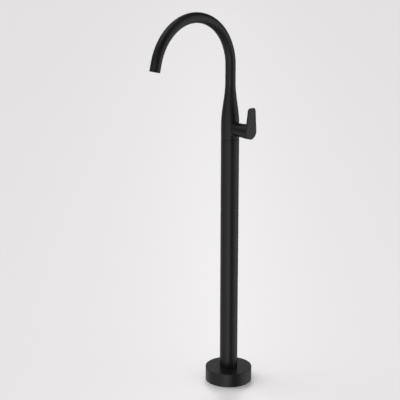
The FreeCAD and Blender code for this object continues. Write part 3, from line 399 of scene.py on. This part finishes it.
# ---- floor cover ---------------------------------------------------------------------------------------
# A low drum, spun from brass sheet with a closed top, slid down the column over the base plate. A rubber
# ring in its collar grips the column and keeps water out.
COVER_RADIUS = 65.8
COVER_HEIGHT = 38.7
COVER_WALL = 2.0
COVER_EDGE = 1.2
COVER_OPENING = 25.4
COLLAR_RADIUS = 30.4
COLLAR_BOTTOM = 30.8
SEAL_GROOVE_RADIUS = 27.9
SEAL_GROOVE_BOTTOM = 32.0
SEAL_GROOVE_TOP = 35.5
MATCH_DISTANCE = 0.001


def ring_edges(bm, radius, height):
    """The edges of one round corner, by its radius and height in millimetres."""
    found = []
    for edge in bm.edges:
        level = all(abs(vert.co.z / MM - height) < MATCH_DISTANCE for vert in edge.verts)
        if level and all(abs(vert.co.xy.length / MM - radius) < MATCH_DISTANCE for vert in edge.verts):
            found.append(edge)
    return found


def rounded(bm, edges, radius, segments=5):
    """Rounds edges to a radius in millimetres."""
    bmesh.ops.bevel(
        bm, geom=edges, offset=radius * MM, segments=segments, profile=0.5, affect="EDGES", material=-1
    )


cover_profile = [
    (COVER_RADIUS, 0), (COVER_RADIUS, COVER_HEIGHT), (COVER_OPENING, COVER_HEIGHT),
    (COVER_OPENING, SEAL_GROOVE_TOP), (SEAL_GROOVE_RADIUS, SEAL_GROOVE_TOP),
    (SEAL_GROOVE_RADIUS, SEAL_GROOVE_BOTTOM), (COVER_OPENING, SEAL_GROOVE_BOTTOM),
    (COVER_OPENING, COLLAR_BOTTOM), (COLLAR_RADIUS, COLLAR_BOTTOM),
    (COLLAR_RADIUS, COVER_HEIGHT - COVER_WALL), (COVER_RADIUS - COVER_WALL, COVER_HEIGHT - COVER_WALL),
    (COVER_RADIUS - COVER_WALL, 0),
]
cover = turned(cover_profile, 2 * TURN_STEPS)
rounded(cover, ring_edges(cover, COVER_RADIUS, COVER_HEIGHT), COVER_EDGE)
finished_piece(cover, "cover_drum", matte_black_coat, "matte_black_coat", "cover", "floor_cover")
finish_nodes(moulded_rubber, "cover_seal")


# ---- mixer body ----------------------------------------------------------------------------------------
# A brass casting that turns on the column: as wide as the column at its foot, drawn in above to the
# spout's width, with a nozzle on its side that melts into it. Its spigot and its waterways are machined.
SPOUT_RADIUS = 14.0
SPIGOT_RADIUS = 18.0
SPIGOT_BOTTOM = 662.0
BODY_BOTTOM = 704.7
BODY_EDGE = 0.5
TAPER_START = 741.0
TAPER_END = 861.0
NECK_TOP = 868.0
NECK_INSERT_RADIUS = 12.45
NECK_INSERT_TOP = 884.0
NOZZLE_HEIGHT = 732.6
NOZZLE_ROOT_RADIUS = 18.0
NOZZLE_END_RADIUS = 19.6
NOZZLE_END = 58.5
NOZZLE_BLEND = 5.0
NOZZLE_EDGE = 0.4
CLIP_GROOVE_RADIUS = 16.5
CLIP_GROOVE = (669.1, 670.7)
RING_GROOVE_RADIUS = 15.35
LOWER_RING_GROOVE = (675.883, 678.683)
UPPER_RING_GROOVE = (697.017, 699.817)
STOP_SLOT_RADIUS = 16.2
STOP_SLOT_HALF_HEIGHT = 1.6
STOP_SLOT_REACH = 65.67
POCKET_RADIUS = 13.0
POCKET_FLOOR = 16.0
NUT_RECESS_RADIUS = 15.95
NUT_RECESS_FLOOR = 50.5


def body_radius(height):
    """Radius of the body at a height: half a cosine wave from the column's width to the spout's."""
    share = min(max((height - TAPER_START) / (TAPER_END - TAPER_START), 0), 1)
    return SPOUT_RADIUS + (COLUMN_RADIUS - SPOUT_RADIUS) * (1 + math.cos(math.pi * share)) / 2


SPIGOT_GROOVES = (
    (CLIP_GROOVE_RADIUS, CLIP_GROOVE), (RING_GROOVE_RADIUS, LOWER_RING_GROOVE),
    (RING_GROOVE_RADIUS, UPPER_RING_GROOVE),
)
body_profile = [(0, SPIGOT_BOTTOM), (SPIGOT_RADIUS, SPIGOT_BOTTOM)]
for depth, (low, high) in SPIGOT_GROOVES:
    body_profile += [(SPIGOT_RADIUS, low), (depth, low), (depth, high), (SPIGOT_RADIUS, high)]
body_profile.append((SPIGOT_RADIUS, BODY_BOTTOM))
BODY_ROWS = 54
for row in range(BODY_ROWS + 1):
    height = BODY_BOTTOM + (NECK_TOP - BODY_BOTTOM) * row / BODY_ROWS
    body_profile.append((body_radius(height), height))
body_profile += [
    (NECK_INSERT_RADIUS, NECK_TOP), (NECK_INSERT_RADIUS, NECK_INSERT_TOP), (0, NECK_INSERT_TOP),
]
body = turned(body_profile)
bmesh.ops.remove_doubles(body, verts=body.verts, dist=MERGE_DISTANCE * MM)
rounded(body, ring_edges(body, COLUMN_RADIUS, BODY_BOTTOM), BODY_EDGE, segments=3)

# The nozzle is drawn as rings, from its end back to the body and then along a rolled fillet, where a
# ball of the fillet's radius would touch both.
NOZZLE_STEPS = 96
NOZZLE_SINK = 1.0
NOZZLE_ROOT = 2.0
BLEND_ROWS = 8


def nozzle_point(turn, radius, along):
    """Point on a circle round the nozzle's axis, at an angle from its top."""
    return Vector((along, radius * math.sin(turn), NOZZLE_HEIGHT + radius * math.cos(turn)))


def ball_centre(turn):
    """Centre of the ball that touches nozzle and body, at an angle round the nozzle from its top."""
    reach = NOZZLE_ROOT_RADIUS + NOZZLE_BLEND
    side = reach * math.sin(turn)
    height = NOZZLE_HEIGHT + reach * math.cos(turn)
    distance = body_radius(height) + NOZZLE_BLEND
    return Vector((math.sqrt(distance ** 2 - side ** 2), side, height))


def blend_point(turn, share):
    """Point on the fillet: on the nozzle at share 0, on the body at share 1."""
    centre = ball_centre(turn)
    to_nozzle = Vector((0, -math.sin(turn), -math.cos(turn)))
    to_body = Vector((-centre.x, -centre.y, 0)).normalized()
    return centre + NOZZLE_BLEND * to_nozzle.slerp(to_body, share)


def sunk_point(turn):
    """Point where the fillet meets the body, sunk a little below its surface."""
    edge = blend_point(turn, 1)
    outward = Vector((edge.x, edge.y, 0)).normalized()
    return outward * (body_radius(edge.z) - NOZZLE_SINK) + Vector((0, 0, edge.z))


def next_ring(bm, edges):
    """Extrudes a ring of edges in place and gives the new ring's vertices and edges."""
    grown = bmesh.ops.extrude_edge_only(bm, edges=edges)["geom"]
    fresh = {item for item in grown if isinstance(item, bmesh.types.BMVert)}
    drawn = [item for item in grown if isinstance(item, bmesh.types.BMEdge)]
    return fresh, [edge for edge in drawn if fresh.issuperset(edge.verts)]


def nozzle_rings(bm):
    """Draws the nozzle's skin, ring by ring, and closes both ends."""
    turns = bm.verts.layers.float.new("turn")
    ring = bmesh.ops.create_circle(bm, segments=NOZZLE_STEPS, radius=1)["verts"]
    for vert in ring:
        vert[turns] = math.atan2(vert.co.x, vert.co.y)
    places = [
        lambda turn: nozzle_point(turn, NOZZLE_END_RADIUS - NOZZLE_EDGE, NOZZLE_END),
        lambda turn: nozzle_point(turn, NOZZLE_END_RADIUS, NOZZLE_END - NOZZLE_EDGE),
    ]
    for row in range(BLEND_ROWS + 1):
        places.append(lambda turn, row=row: blend_point(turn, row / BLEND_ROWS))
    places.append(sunk_point)
    places.append(lambda turn: Vector((NOZZLE_ROOT, *sunk_point(turn)[1:])))
    for vert in ring:
        vert.co = places[0](vert[turns]) * MM
    edges = list(bm.edges)
    bmesh.ops.contextual_create(bm, geom=edges)
    for spot in places[1:]:
        fresh, edges = next_ring(bm, edges)
        for vert in fresh:
            vert.co = spot(vert[turns]) * MM
    bmesh.ops.contextual_create(bm, geom=edges)


nozzle = bmesh.new()
nozzle_rings(nozzle)
body = combined(body, "UNION", [nozzle])

# Hot and cold water come up two bores to the cartridge's ports, and mixed water leaves through the lower
# port into the middle of the body and up to the spout.
INLET_BORE = 3.6
INLET_THREAD = 4.6
INLET_THREAD_TOP = 671.1
PORT_RADIUS = 2.2
PORT_SIDE = 4.6
PORT_HEIGHT = 734.8
INLET_TOP = 737.0
MIXED_PORT_RADIUS = 2.6
MIXED_PORT_HEIGHT = 727.6
MIXED_BORE = 5.0
MIXED_BOTTOM = 725.0
WATERWAY_RADIUS = 9.5
WATERWAY_BOTTOM = 740.2

POCKET_STEPS = 96
PIPE_STEPS = 48
INLET_STEPS = 32
CUT_OVERLAP = 1.0

nozzle_mouth = (NOZZLE_END + CUT_OVERLAP, 0, NOZZLE_HEIGHT)
mixed_port = (POCKET_FLOOR + CUT_OVERLAP, 0, MIXED_PORT_HEIGHT)
cuts = [
    rod(POCKET_RADIUS, (POCKET_FLOOR, 0, NOZZLE_HEIGHT), nozzle_mouth, POCKET_STEPS),
    rod(NUT_RECESS_RADIUS, (NUT_RECESS_FLOOR, 0, NOZZLE_HEIGHT), nozzle_mouth, POCKET_STEPS),
    rod(MIXED_PORT_RADIUS, (0, 0, MIXED_PORT_HEIGHT), mixed_port, HOLE_STEPS),
    rod(MIXED_BORE, (0, 0, MIXED_BOTTOM), (0, 0, WATERWAY_BOTTOM + CUT_OVERLAP), PIPE_STEPS),
    rod(WATERWAY_RADIUS, (0, 0, WATERWAY_BOTTOM), (0, 0, NECK_INSERT_TOP + CUT_OVERLAP)),
]
for sign in (1, -1):
    side = sign * HOSE_OFFSET
    foot = (0, side, SPIGOT_BOTTOM - CUT_OVERLAP)
    port = (POCKET_FLOOR + CUT_OVERLAP, sign * PORT_SIDE, PORT_HEIGHT)
    cuts.append(rod(INLET_BORE, foot, (0, side, INLET_TOP), INLET_STEPS))
    cuts.append(rod(INLET_THREAD, foot, (0, side, INLET_THREAD_TOP), INLET_STEPS))
    cuts.append(rod(PORT_RADIUS, (0, side, PORT_HEIGHT), port, HOLE_STEPS))

# The slot in the spigot that the stop pin runs in is one rectangle, spun over the swing that it allows.
SLOT_STEPS = 48
slot_profile = [
    (STOP_SLOT_RADIUS, -STOP_SLOT_HALF_HEIGHT), (COLUMN_BORE, -STOP_SLOT_HALF_HEIGHT),
    (COLUMN_BORE, STOP_SLOT_HALF_HEIGHT), (STOP_SLOT_RADIUS, STOP_SLOT_HALF_HEIGHT),
]
slot = bmesh.new()
corners = [
    slot.verts.new((radius * MM, 0, (STOP_PIN_HEIGHT + rise) * MM)) for radius, rise in slot_profile
]
slot_face = slot.faces.new(corners)
slot_start = Matrix.Rotation(math.radians(90 - STOP_SLOT_REACH), 3, "Z")
bmesh.ops.rotate(slot, verts=corners, matrix=slot_start)
bmesh.ops.spin(
    slot, geom=[slot_face, *slot_face.edges, *corners], cent=(0, 0, 0), axis=(0, 0, 1),
    angle=math.radians(2 * STOP_SLOT_REACH), steps=SLOT_STEPS,
)
cuts.append(slot)
body = combined(body, "DIFFERENCE", cuts)
finished_piece(body, "body_casting", matte_black_coat, "matte_black_coat", "head", "mixer_body")


# ---- hose ends and rings on the spigot -----------------------------------------------------------------
# The upper ends of the hoses screw into the foot of the body with hexagonal nipples. Two rubber rings
# give the swivel its drag, and a spring ring under a thrust washer keeps the body on the column.
finish_nodes(stainless_steel, "upper_ferrules", "retaining_ring")
finish_nodes(nickel_plate, "hose_nipples")
finish_nodes(moulded_rubber, "damping_rings")
finish_nodes(black_acetal, "thrust_washer")


# ---- ceramic cartridge ---------------------------------------------------------------------------------
# The cartridge sits in the nozzle, held down by a brass ring nut. In its moulded housing are two polished
# ceramic discs, one fixed and one that the spindle slides and turns through a driver and a collar.

# Glass-filled polymer, moulded: warm white and slightly translucent, with a fine matte skin.
white_polymer, tree = empty_material("moulded_white_polymer")
place = add_node(tree, "ShaderNodeTexCoord")
grain = add_node(tree, "ShaderNodeTexNoise", {"Scale": 1 / (0.6 * MM), "Detail": 3.0},
                 {"Vector": place.outputs["Object"]})
tint = add_node(tree, "ShaderNodeMix", {"data_type": "RGBA", 6: srgb("#dedcd4"), 7: srgb("#eae8e1")},
                {0: grain.outputs["Fac"]})
haze = add_node(tree, "ShaderNodeMapRange", {"To Min": 0.38, "To Max": 0.52},
                {"Value": grain.outputs["Fac"]})
plastic = add_node(tree, "ShaderNodeBsdfPrincipled", {"IOR": 1.55},
                   {"Base Color": tint.outputs[2], "Roughness": haze.outputs[0]})
add_node(tree, "ShaderNodeOutputMaterial", links={"Surface": plastic.outputs[0]})

# Alumina ceramic, lapped: bright white and nearly as smooth as glass.
lapped_ceramic, tree = empty_material("lapped_alumina_ceramic")
place = add_node(tree, "ShaderNodeTexCoord")
grain = add_node(tree, "ShaderNodeTexNoise", {"Scale": 1 / (1.5 * MM), "Detail": 2.0},
                 {"Vector": place.outputs["Object"]})
tint = add_node(tree, "ShaderNodeMix", {"data_type": "RGBA", 6: srgb("#ecebe6"), 7: srgb("#f3f2ee")},
                {0: grain.outputs["Fac"]})
haze = add_node(tree, "ShaderNodeMapRange", {"To Min": 0.1, "To Max": 0.18},
                {"Value": grain.outputs["Fac"]})
ceramic = add_node(tree, "ShaderNodeBsdfPrincipled", {"IOR": 1.77},
                   {"Base Color": tint.outputs[2], "Roughness": haze.outputs[0]})
add_node(tree, "ShaderNodeOutputMaterial", links={"Surface": ceramic.outputs[0]})

finish_nodes(moulded_rubber, "cartridge_gasket")
finish_nodes(white_polymer, "cartridge_base", "cartridge_housing", "turn_collar", "disc_driver")
finish_nodes(lapped_ceramic, "fixed_disc", "moving_disc")
finish_nodes(machined_brass, "spindle", "retaining_nut")
finish_nodes(stainless_steel, "pivot_pin")
finish_nodes(matte_black_coat, "dome_cover")


# ---- lever ---------------------------------------------------------------------------------------------
# One casting, coated matte black: a round hub and a flat upright paddle that leans out a little. The hub
# is cupped behind to glide over the dome, and a grub screw from below clamps it on the spindle.
HUB_RADIUS = 20.1
HUB_FACE = 78.5
HUB_BACK = 60.2
HUB_STEP = 0.02
LEVER_THICKNESS = 4.0
LEVER_LEAN = 2.0
LEVER_EDGE = 0.7
LEVER_BACK_EDGE = 0.4
CORNER_RADIUS = 9.0
CORNER_SIDE = 5.0
CORNER_RISE = 56.4
PIVOT_X = 48.0
CUP_RADIUS = 23.4
BOSS_RADIUS = 5.6
BOSS_START = 63.0
SOCKET_WIDTH = 5.7
SOCKET_END = 75.9
LEVER_SCREW_X = 73.7
LEVER_SCREW_HOLE = 2.05
LEVER_STEPS = 96
CUP_ROWS = 64

# The paddle is the tight hull of three discs, the hub and the two upper corners. The hub is a round boss
# behind it, finer by a hair, so that their walls don't fall together.
lean = math.tan(math.radians(LEVER_LEAN))
lever = bmesh.new()
for radius, side, rise in (
    (HUB_RADIUS, 0, 0), (CORNER_RADIUS, CORNER_SIDE, CORNER_RISE),
    (CORNER_RADIUS, -CORNER_SIDE, CORNER_RISE),
):
    for along in (HUB_FACE - LEVER_THICKNESS, HUB_FACE):
        middle = Vector((along, side, NOZZLE_HEIGHT + rise)) * MM
        stand_up = Matrix.Translation(middle) @ Matrix.Rotation(math.pi / 2, 4, "Y")
        bmesh.ops.create_circle(lever, segments=LEVER_STEPS, radius=radius * MM, matrix=stand_up)
bmesh.ops.delete(lever, geom=list(lever.edges), context="EDGES_FACES")
bmesh.ops.convex_hull(lever, input=lever.verts)
bmesh.ops.dissolve_limit(lever, angle_limit=math.radians(1), verts=lever.verts, edges=lever.edges)
inner = [vert for vert in lever.verts if not vert.link_faces]
bmesh.ops.delete(lever, geom=inner, context="VERTS")


def leaning(point):
    """A point in millimetres, moved as the lever's lean moves it."""
    return Vector((point[0] + lean * (point[2] - NOZZLE_HEIGHT), point[1], point[2]))


for vert in lever.verts:
    vert.co = leaning(vert.co / MM) * MM
bmesh.ops.recalc_face_normals(lever, faces=lever.faces)

# The edges that lie this close to the paddle's front or back, in millimetres, and are bent more than
# this, in radians, are its outline.
OUTLINE_REACH = 0.01
OUTLINE_ANGLE = 1.0


def outline_edges(bm, along):
    """The outer edges of the paddle's front or back, by its distance from the column at the nozzle."""
    found = []
    for edge in bm.edges:
        gaps = [abs(vert.co.x / MM - leaning((along, 0, vert.co.z / MM)).x) for vert in edge.verts]
        if max(gaps) < OUTLINE_REACH and edge.is_convex and edge.calc_face_angle() > OUTLINE_ANGLE:
            found.append(edge)
    return found


rounded(lever, outline_edges(lever, HUB_FACE), LEVER_EDGE, segments=4)
rounded(lever, outline_edges(lever, HUB_FACE - LEVER_THICKNESS), LEVER_BACK_EDGE, segments=3)
hub_start = (HUB_BACK, 0, NOZZLE_HEIGHT)
hub_end = (HUB_FACE - LEVER_THICKNESS / 2, 0, NOZZLE_HEIGHT)
lever = combined(lever, "UNION", [rod(HUB_RADIUS - HUB_STEP, hub_start, hub_end, LEVER_STEPS)])
cup = bmesh.new()
pivot = Vector((PIVOT_X, 0, NOZZLE_HEIGHT)) * MM
bmesh.ops.create_uvsphere(
    cup, u_segments=LEVER_STEPS, v_segments=CUP_ROWS, radius=CUP_RADIUS * MM,
    matrix=Matrix.Translation(pivot) @ Matrix.Rotation(math.pi / 2, 4, "Y"),
)
lever = combined(lever, "DIFFERENCE", [cup])
boss = rod(BOSS_RADIUS, (BOSS_START, 0, NOZZLE_HEIGHT), (SOCKET_END, 0, NOZZLE_HEIGHT))
lever = combined(lever, "UNION", [boss])

# The boss has a square socket for the spindle, and the grub screw's hole comes up into it.
socket = bmesh.new()
socket_length = SOCKET_END - BOSS_START + CUT_OVERLAP
socket_middle = Vector((SOCKET_END - socket_length / 2, 0, NOZZLE_HEIGHT)) * MM
socket_size = Vector((socket_length, SOCKET_WIDTH, SOCKET_WIDTH)) * MM
bmesh.ops.create_cube(
    socket, size=1, matrix=Matrix.Translation(socket_middle) @ Matrix.Diagonal((*socket_size, 1))
)
screw_foot = (LEVER_SCREW_X, 0, NOZZLE_HEIGHT - HUB_RADIUS - CUT_OVERLAP)
screw_hole = rod(LEVER_SCREW_HOLE, screw_foot, (LEVER_SCREW_X, 0, NOZZLE_HEIGHT), HOLE_STEPS)
lever = combined(lever, "DIFFERENCE", [socket, screw_hole])
finished_piece(lever, "lever_grip", matte_black_coat, "matte_black_coat", "lever", "lever_handle")
finish_nodes(stainless_steel, "lever_grub_screw")
finish_nodes(moulded_rubber, "lever_screw_plug")


# ---- spout ---------------------------------------------------------------------------------------------
# One brass tube of 28 mm, bent on a former into a round arch and brazed over the neck of the body. Its
# end stands almost straight down, a little open towards the bath.
SPOUT_WALL = 1.5
SPOUT_STRAIGHT = 35.5
ARCH_RADIUS = 137.5
ARCH_SWEEP = 165.4
SPOUT_TIP = 23.4
ARCH_STEPS = 112
SPOUT_RIM = 0.35
SPOUT_STEPS = 96

spout = bmesh.new()
neck = Matrix.Translation((0, 0, NECK_TOP * MM))
bmesh.ops.create_circle(spout, segments=SPOUT_STEPS, radius=SPOUT_RADIUS * MM, matrix=neck)


def drawn_on(bm, edges, run):
    """Extrudes the open end of a tube by a run in millimetres and gives its new end."""
    fresh, end = next_ring(bm, edges)
    bmesh.ops.translate(bm, verts=list(fresh), vec=run * MM)
    return end


end = drawn_on(spout, list(spout.edges), Vector((0, 0, SPOUT_STRAIGHT)))
arch_centre = Vector((0, -ARCH_RADIUS, NECK_TOP + SPOUT_STRAIGHT)) * MM
sweep = math.radians(ARCH_SWEEP)
swept = bmesh.ops.spin(
    spout, geom=end, cent=arch_centre, axis=(1, 0, 0), angle=sweep, steps=ARCH_STEPS
)
end = [item for item in swept["geom_last"] if isinstance(item, bmesh.types.BMEdge)]
drawn_on(spout, end, Vector((0, -math.sin(sweep), math.cos(sweep))) * SPOUT_TIP)
spout_piece = finished_piece(
    spout, "spout_bend", matte_black_coat, "matte_black_coat", "head", "spout_tube"
)
wall = spout_piece.modifiers.new("tube_wall", "SOLIDIFY")
wall.thickness = SPOUT_WALL * MM
wall.offset = -1
rim = spout_piece.modifiers.new("soft_rims", "BEVEL")
rim.width = SPOUT_RIM * MM
rim.segments = 3
rim.limit_method = "ANGLE"
rim.angle_limit = math.radians(60)
# The even shading comes last, on the finished rims.
spout_piece.modifiers.move(0, 2)


# ---- aerator -------------------------------------------------------------------------------------------
# A black acetal sleeve pressed in the spout's mouth, with a rubber washer behind and a moulded grey disc
# of hexagonal cells that calms the stream.

# Grey acetal, moulded: mid grey with a smooth waxy skin.
grey_acetal, tree = empty_material("moulded_grey_acetal")
place = add_node(tree, "ShaderNodeTexCoord")
grain = add_node(tree, "ShaderNodeTexNoise", {"Scale": 1 / (1 * MM), "Detail": 2.0},
                 {"Vector": place.outputs["Object"]})
tint = add_node(tree, "ShaderNodeMix", {"data_type": "RGBA", 6: srgb("#85878a"), 7: srgb("#919396")},
                {0: grain.outputs["Fac"]})
haze = add_node(tree, "ShaderNodeMapRange", {"To Min": 0.3, "To Max": 0.42},
                {"Value": grain.outputs["Fac"]})
plastic = add_node(tree, "ShaderNodeBsdfPrincipled", {"IOR": 1.48},
                   {"Base Color": tint.outputs[2], "Roughness": haze.outputs[0]})
add_node(tree, "ShaderNodeOutputMaterial", links={"Surface": plastic.outputs[0]})

finish_nodes(black_acetal, "aerator_housing")
finish_nodes(grey_acetal, "flow_straightener")
finish_nodes(moulded_rubber, "aerator_washer")


# ---- the studio ----------------------------------------------------------------------------------------
# Pale seamless paper under the object and a pale backdrop. The world holds the soft boxes that the satin
# coat mirrors, and four lamps, which it doesn't mirror, light the paper and cast the soft shadows.
CAMERA_LENS = 104.14
CAMERA_SENSOR = 36.0
CAMERA_PLACE = (2.12177, -2.23736, 1.36522)
CAMERA_TILT = 74.85
CAMERA_TURN = 45.0

camera_data = bpy.data.cameras.new("camera")
camera_data.lens = CAMERA_LENS
camera_data.sensor_width = CAMERA_SENSOR
camera = bpy.data.objects.new("camera", camera_data)
camera.location = CAMERA_PLACE
camera.rotation_euler = (math.radians(CAMERA_TILT), 0, math.radians(CAMERA_TURN))
bpy.context.scene.collection.objects.link(camera)
bpy.context.scene.camera = camera


def towards(azimuth, elevation):
    """Direction from the object, by its angle to the right of the camera and above the floor."""
    turn = math.radians(azimuth - CAMERA_TURN)
    lift = math.radians(elevation)
    return Vector((math.cos(turn) * math.cos(lift), math.sin(turn) * math.cos(lift), math.sin(lift)))


# Seamless paper: pale warm grey and quite without shine. Its colour carries a painted pool of light,
# palest round the object and greyer to the sides and far behind.
PAINTED_POOL_HALF_WIDTH = 500.0
PAINTED_POOL_HALF_DEPTH = 8000.0
seamless_paper, tree = empty_material("seamless_paper")
place = add_node(tree, "ShaderNodeTexCoord")
painted_pool_mapping = add_node(tree, "ShaderNodeMapping", {
    "vector_type": "TEXTURE",
    "Rotation": (0, 0, math.radians(CAMERA_TURN)),
    "Scale": (PAINTED_POOL_HALF_WIDTH * MM, PAINTED_POOL_HALF_DEPTH * MM, 1),
}, {"Vector": place.outputs["Object"]})
distance = add_node(tree, "ShaderNodeVectorMath", {"operation": "LENGTH"}, {0: painted_pool_mapping.outputs[0]})
outward = add_node(tree, "ShaderNodeMath", {"operation": "MULTIPLY", 1: -1.0},
                   {0: distance.outputs["Value"]})
pale = add_node(tree, "ShaderNodeMath", {"operation": "EXPONENT"}, {0: outward.outputs[0]})
# The painted pool of light: the paper's colour is palest at the middle and greyer outward.
tint = add_node(tree, "ShaderNodeMix", {"data_type": "RGBA", 6: srgb("#d9d7d8"), 7: srgb("#e8e6e7")},
                {0: pale.outputs[0]})
paper = add_node(tree, "ShaderNodeBsdfDiffuse", {"Roughness": 0.0}, {"Color": tint.outputs[2]})
add_node(tree, "ShaderNodeOutputMaterial", links={"Surface": paper.outputs[0]})

FLOOR_REACH = 30.0
FLOOR_STEPS = 96
bm = bmesh.new()
bmesh.ops.create_circle(bm, cap_ends=True, segments=FLOOR_STEPS, radius=FLOOR_REACH)
floor_mesh = bpy.data.meshes.new("paper_floor")
bm.to_mesh(floor_mesh)
bm.free()
floor_mesh.materials.append(seamless_paper)
paper_floor = bpy.data.objects.new("paper_floor", floor_mesh)
bpy.context.scene.collection.objects.link(paper_floor)
# The low soft boxes stand for the light that the paper throws up, so the paper itself isn't mirrored in
# the coat and shades nothing.
paper_floor.visible_glossy = False
paper_floor.visible_shadow = False

# Each soft box in the world: its azimuth and elevation in degrees, how tightly it is bounded, and its
# level at the middle, where 1 is white.
SOFT_BOXES = {
    "front_strip": (-12, -15, 14, 0.7),
    "front_low": (-10, -37, 14, 0.45),
    "front_left": (-45, 8, 14, 0.4),
    "left_low": (-60, -20, 10, 0.35),
    "left_rear": (-110, -25, 10, 0.3),
    "left_rear_low": (-140, -37, 14, 0.4),
    "left_high": (-105, 62, 8, 0.9),
    "back_wall": (180, -8, 12, 1.2),
    "right_strip": (62, -15, 20, 0.3),
    "right_high": (80, 20, 10, 0.5),
    "right_wall": (100, -15, 10, 0.45),
    "right_low": (90, -40, 10, 0.3),
    "right_rear_low": (135, -37, 14, 0.2),
    "under": (-90, -75, 8, 0.15),
}
world = bpy.data.worlds.new("studio")
bpy.context.scene.world = world
world.use_nodes = True
tree = world.node_tree
tree.nodes.clear()
view = add_node(tree, "ShaderNodeTexCoord")
glow = None
for azimuth, elevation, tightness, level in SOFT_BOXES.values():
    facing = add_node(tree, "ShaderNodeVectorMath",
                      {"operation": "DOT_PRODUCT", 1: towards(azimuth, elevation)},
                      {0: view.outputs["Generated"]})
    fall = add_node(tree, "ShaderNodeMath", {"operation": "MULTIPLY_ADD", 1: tightness, 2: -tightness},
                    {0: facing.outputs["Value"]})
    lobe = add_node(tree, "ShaderNodeMath", {"operation": "EXPONENT"}, {0: fall.outputs[0]})
    total = add_node(tree, "ShaderNodeMath", {"operation": "MULTIPLY_ADD", 1: level, 2: 0.0},
                     {0: lobe.outputs[0]})
    if glow:
        tree.links.new(glow.outputs[0], total.inputs[2])
    glow = total
boxes = add_node(tree, "ShaderNodeBackground", {"Color": srgb("#ffffff")}, {"Strength": glow.outputs[0]})
backdrop = add_node(tree, "ShaderNodeBackground", {"Color": srgb("#e5e3e4")})
ray = add_node(tree, "ShaderNodeLightPath")
seen = add_node(tree, "ShaderNodeMath", {"operation": "ADD", "use_clamp": True},
                {0: ray.outputs["Is Camera Ray"], 1: ray.outputs["Is Transmission Ray"]})
shown = add_node(tree, "ShaderNodeMixShader",
                 links={0: seen.outputs[0], 1: boxes.outputs[0], 2: backdrop.outputs[0]})
add_node(tree, "ShaderNodeOutputWorld", links={"Surface": shown.outputs[0]})

# Each lamp is a far soft light: its azimuth and elevation in degrees, the angle it fills, and the level
# to which it alone would light white paper that faces it.
LAMP_DISTANCE = 3.0
LAMPS = {
    "back_lamp": (179, 40, 18, 0.3),
    "high_back_lamp": (175, 60, 30, 0.2),
    "left_lamp": (-110, 50, 40, 0.18),
    "top_lamp": (0, 86, 130, 0.37),
}
for name, (azimuth, elevation, angle, level) in LAMPS.items():
    lamp_data = bpy.data.lights.new(name, "SUN")
    lamp_data.angle = math.radians(angle)
    lamp_data.energy = level * math.pi
    lamp = bpy.data.objects.new(name, lamp_data)
    direction = towards(azimuth, elevation)
    lamp.location = direction * LAMP_DISTANCE
    lamp.rotation_euler = direction.to_track_quat("Z", "Y").to_euler()
    lamp.visible_camera = False
    lamp.visible_glossy = False
    bpy.context.scene.collection.objects.link(lamp)

bpy.context.scene.view_settings.view_transform = "Standard"
